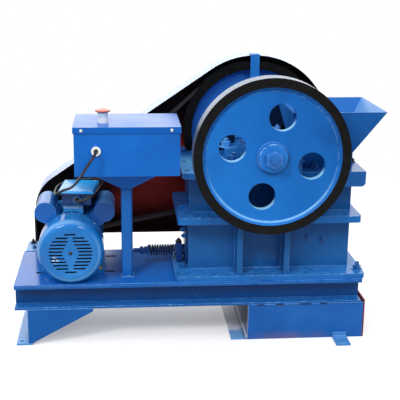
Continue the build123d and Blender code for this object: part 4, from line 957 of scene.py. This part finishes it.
# Beads round the post, along the chute walls, gusset, flanges and ribs, and on the deck's edges
def weld_beads():
    build = Build()
    left, right = inset("control_post", LEFT_RIGHT, 0)
    front, rear = inset("control_post", FRONT_REAR, 0)
    corners = ((left, front), (right, front), (right, rear), (left, rear), (left, front))
    build.bead([place(x, y, DECK_TOP) for x, y in corners], 2.6)
    blob = [place(x, front - 2, DECK_TOP + 2) for x in (left + 8, right - 7)]
    build.bead(blob, 3.6, 3.0, 0.9)
    walls = (-0.2, DECK_REAR + 0.2)
    for start, end in STITCHES:
        build.bead_pair((start, RAIL_UNDER), (end, RAIL_UNDER), walls, 1.9, wobble=0.5)
    gusset_left, gusset_right = inset("leg_gussets", LEFT_RIGHT, 0)
    build.bead_pair((gusset_left, RAIL_UNDER), (gusset_right - 1, RAIL_UNDER), walls[:1], 1.6, 3.6, 0.5)
    rib_sides = (RIB_LEFT, RIB_LEFT + RIB_THICK, RIB_RIGHT - RIB_THICK, RIB_RIGHT)
    for start, end in ((BODY_LEFT, rib_sides[0]), rib_sides[1:3], (rib_sides[3], BODY_RIGHT)):
        for y in BODY_SIDES:
            for z, radius in ((BASE_TOP, 2.4), (MID_UNDER, 2.0), (MID_TOP, 1.8)):
                build.bead_pair((start, z), (end, z), (y,), radius)
    seat, seat_rear, seat_front = side("toggle_seats", "left"), 190, 90
    around_seat = ((seat, seat_rear), (seat, seat_front), (BODY_LEFT, seat_front))
    build.bead([place(x, y, MID_TOP) for x, y in around_seat], 1.9, 3.6, 0.8)
    for x in rib_sides:
        build.bead_pair((x, BASE_TOP + 2), (x, MID_UNDER - 2), BODY_SIDES, 1.7)
    deck_edges = (0.4, DECK_REAR - 0.4)
    build.bead_pair((7, DECK_TOP), (418, DECK_TOP), deck_edges, 0.9, 9.0, 1.6)
    build.piece("weld_beads", "frame", weld_paint, 60)


# Chipped paint along the long edges, pale, that also stands for a painted highlight along them, given by
# their ends, depth, height and number of chips
def edge_chips_and_highlights():
    edges = (
        (4, 414, 0.3, DECK_TOP - 0.2, 34),
        (4, 930, 0.2, RAIL_UNDER + RAIL_FLANGE - 0.2, 60),
        (424, 930, 2.3, BASE_TOP - 0.2, 36),
        (432, 912, 5.3, MID_TOP - 0.2, 22),
        (796, 915, 5.3, FLANGE_TOP - 0.2, 8),
    )
    build = Build()
    for start, end, y, z, count in edges:
        for _ in range(count):
            x = rng.uniform(start, end - 14)
            length = rng.uniform(3, 13)
            radius = rng.uniform(0.35, 0.9)
            for depth in (y, DECK_REAR - y):
                build.chip(place(x, depth, z), radius, length)
    build.piece("edge_chips_and_highlights", "frame", chip_and_highlight_paint)


# Black strips that paint the shadow in the gaps between the chute's stitches, and along the deck's edge at
# the guard bracket
def joint_shadow_strips():
    build = Build()
    left, right, front, rear = 5, 37, 277.6, 280.4
    build.block(place(left, front, DECK_TOP - 0.6), place(right, rear, DECK_TOP + 0.5))
    for (_, start), (end, _) in zip(STITCHES, STITCHES[1:]):
        build.block(place(start, -0.4, RAIL_UNDER - 2.6), place(end, 0.6, RAIL_UNDER + 0.2))
    build.piece("chute_joint_shadow_strips", "frame", joint_shadow)


# Uneven weld round the lower and right part of the front wheel's boss
def hub_weld():
    weld_radius, web_y, first, turn, count = 38.2, -50.6, 5, 5.6, 41
    ring = []
    for i in range(count):
        angle = math.radians(first + i * turn)
        x = CRANK_X + weld_radius * math.cos(angle)
        z = CRANK_Z + weld_radius * math.sin(angle)
        ring.append(place(x, web_y, z))
    build = Build()
    build.bead(ring, 2.4, wobble=0.9)
    build.piece("hub_weld", "crankshaft", weld_paint, 60)


def motor_lead():
    curve = bpy.data.curves.new("motor_lead_curve", "CURVE")
    curve.dimensions = "3D"
    curve.bevel_depth = mm(LEAD_RADIUS)
    curve.bevel_resolution = 4
    curve.resolution_u = 10
    curve.use_fill_caps = True
    spline = curve.splines.new("NURBS")
    spline.points.add(len(ROUTE) - 1)
    for point, spot in zip(spline.points, ROUTE):
        point.co = (*place(*spot), 1.0)
    spline.order_u = 3
    spline.use_endpoint_u = True
    curve.materials.append(lead_sheath)
    lead = add_object("motor_lead_cable", curve)
    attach(lead, "frame")
    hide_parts("motor_lead")


# The welds, chips and hub weld draw random numbers in this order
bearing_bolts()
painted_bolts()
black_bolts()
motor_foot_bolts()
bright_screws()
weld_beads()
edge_chips_and_highlights()
joint_shadow_strips()
hub_weld()
motor_lead()


# 1 for rays that show the background: from the camera, through glass or off a glossy surface
def seen_rays(tree):
    rays = tree.nodes.new("ShaderNodeLightPath")
    seen = rays.outputs["Is Camera Ray"]
    for name in ("Is Transmission Ray", "Is Glossy Ray"):
        either = tree.nodes.new("ShaderNodeMath")
        either.operation = "MAXIMUM"
        tree.links.new(seen, either.inputs[0])
        tree.links.new(rays.outputs[name], either.inputs[1])
        seen = either.outputs[0]
    return seen


# Pale floor that keeps the object's shadow near it and turns plain white far from it
def floor_material():
    m = Material("pale_floor")
    shadow_reach, white_from = 0.8, 2.0
    far = m.step(m.length(m.x, m.y), shadow_reach, white_from)
    seen = seen_rays(m.tree)
    near_tint = m.mix(m.noise(3.0, 3.0, 0.5, seed=2.0), (0.86, 0.86, 0.86, 1), (0.90, 0.90, 0.90, 1))
    shown = m.mix(far, near_tint, (0, 0, 0, 1))
    glow = m.times(seen, m.blend(far, 0.22, 1.0))
    m.fill(m.shader, {"Emission Strength": glow, "Emission Color": (1, 1, 1, 1)})
    return m.finish(m.mix(seen, (0.34, 0.34, 0.35, 1), shown), 0.8, specular=0.0)


def floor():
    half = 9
    corners = [(-half, -half, 0), (half, -half, 0), (half, half, 0), (-half, half, 0)]
    mesh = bpy.data.meshes.new("floor")
    mesh.from_pydata(corners, [], [(0, 1, 2, 3)])
    mesh.materials.append(floor_material())
    add_object("floor", mesh)


# Studio light that grows from below to above, behind a plain white background
def studio_world():
    world = bpy.data.worlds.new("studio")
    bpy.context.scene.world = world
    world.use_nodes = True
    tree = world.node_tree
    tree.nodes.clear()
    coords = tree.nodes.new("ShaderNodeTexCoord")
    split = tree.nodes.new("ShaderNodeSeparateXYZ")
    tree.links.new(coords.outputs["Generated"], split.inputs[0])
    ramp = tree.nodes.new("ShaderNodeMapRange")
    low, high, weak, strong = -0.2, 0.8, 0.16, 1.25
    for i, value in enumerate((low, high, weak, strong)):
        ramp.inputs[i + 1].default_value = value
    tree.links.new(split.outputs[2], ramp.inputs[0])
    soft = tree.nodes.new("ShaderNodeBackground")
    soft.inputs[0].default_value = (0.97, 0.98, 1.0, 1)
    tree.links.new(ramp.outputs[0], soft.inputs[1])
    plain = tree.nodes.new("ShaderNodeBackground")
    plain.inputs[0].default_value = (1, 1, 1, 1)
    plain.inputs[1].default_value = 1.0
    chosen = tree.nodes.new("ShaderNodeMixShader")
    for i, socket in enumerate((seen_rays(tree), soft.outputs[0], plain.outputs[0])):
        tree.links.new(socket, chosen.inputs[i])
    output = tree.nodes.new("ShaderNodeOutputWorld")
    tree.links.new(chosen.outputs[0], output.inputs[0])


# Soft rectangular lamp: its place and target in metres, its size, and its power in watts
def lamp(name, spot, target, wide, high, power):
    data = bpy.data.lights.new(name, "AREA")
    data.shape = "RECTANGLE"
    data.size = wide
    data.size_y = high
    data.energy = power
    obj = add_object(name, data)
    obj.location = spot
    obj.rotation_euler = (Vector(target) - Vector(spot)).to_track_quat("-Z", "Y").to_euler()
    obj.visible_camera = False


# Camera at the photograph's viewing angle: turned right, tilted down and rolled a little, in radians
def photo_camera():
    yaw, pitch, roll = 0.0910513, 0.2719513, 0.0112992
    stand_point = place(281.78, -2216.75, 1014.38)
    ahead = Vector((math.sin(yaw) * math.cos(pitch), math.cos(yaw) * math.cos(pitch), -math.sin(pitch)))
    level = Vector((math.cos(yaw), -math.sin(yaw), 0))
    upright = level.cross(ahead)
    right = level * math.cos(roll) + upright * math.sin(roll)
    above = upright * math.cos(roll) - level * math.sin(roll)
    data = bpy.data.cameras.new("camera")
    data.sensor_width = 36.0
    data.lens = 80.68
    data.clip_end = 50
    camera = add_object("camera", data)
    turn = Matrix((right, above, -ahead)).transposed().to_4x4()
    camera.matrix_world = Matrix.Translation(stand_point) @ turn
    bpy.context.scene.camera = camera


floor()
studio_world()
lamp("key_left", (-1.9, -2.7, 2.9), (0, 0, 0.3), 0.9, 0.9, 62)
lamp("key_right", (0.9, -3.0, 2.6), (0, 0, 0.3), 0.8, 0.8, 28)
lamp("rear_soft", (0.3, 2.7, 1.25), (0, 0, 0.35), 3.4, 1.6, 20)
photo_camera()
bpy.context.scene.view_settings.view_transform = "Standard"

bpy.context.view_layer.update()
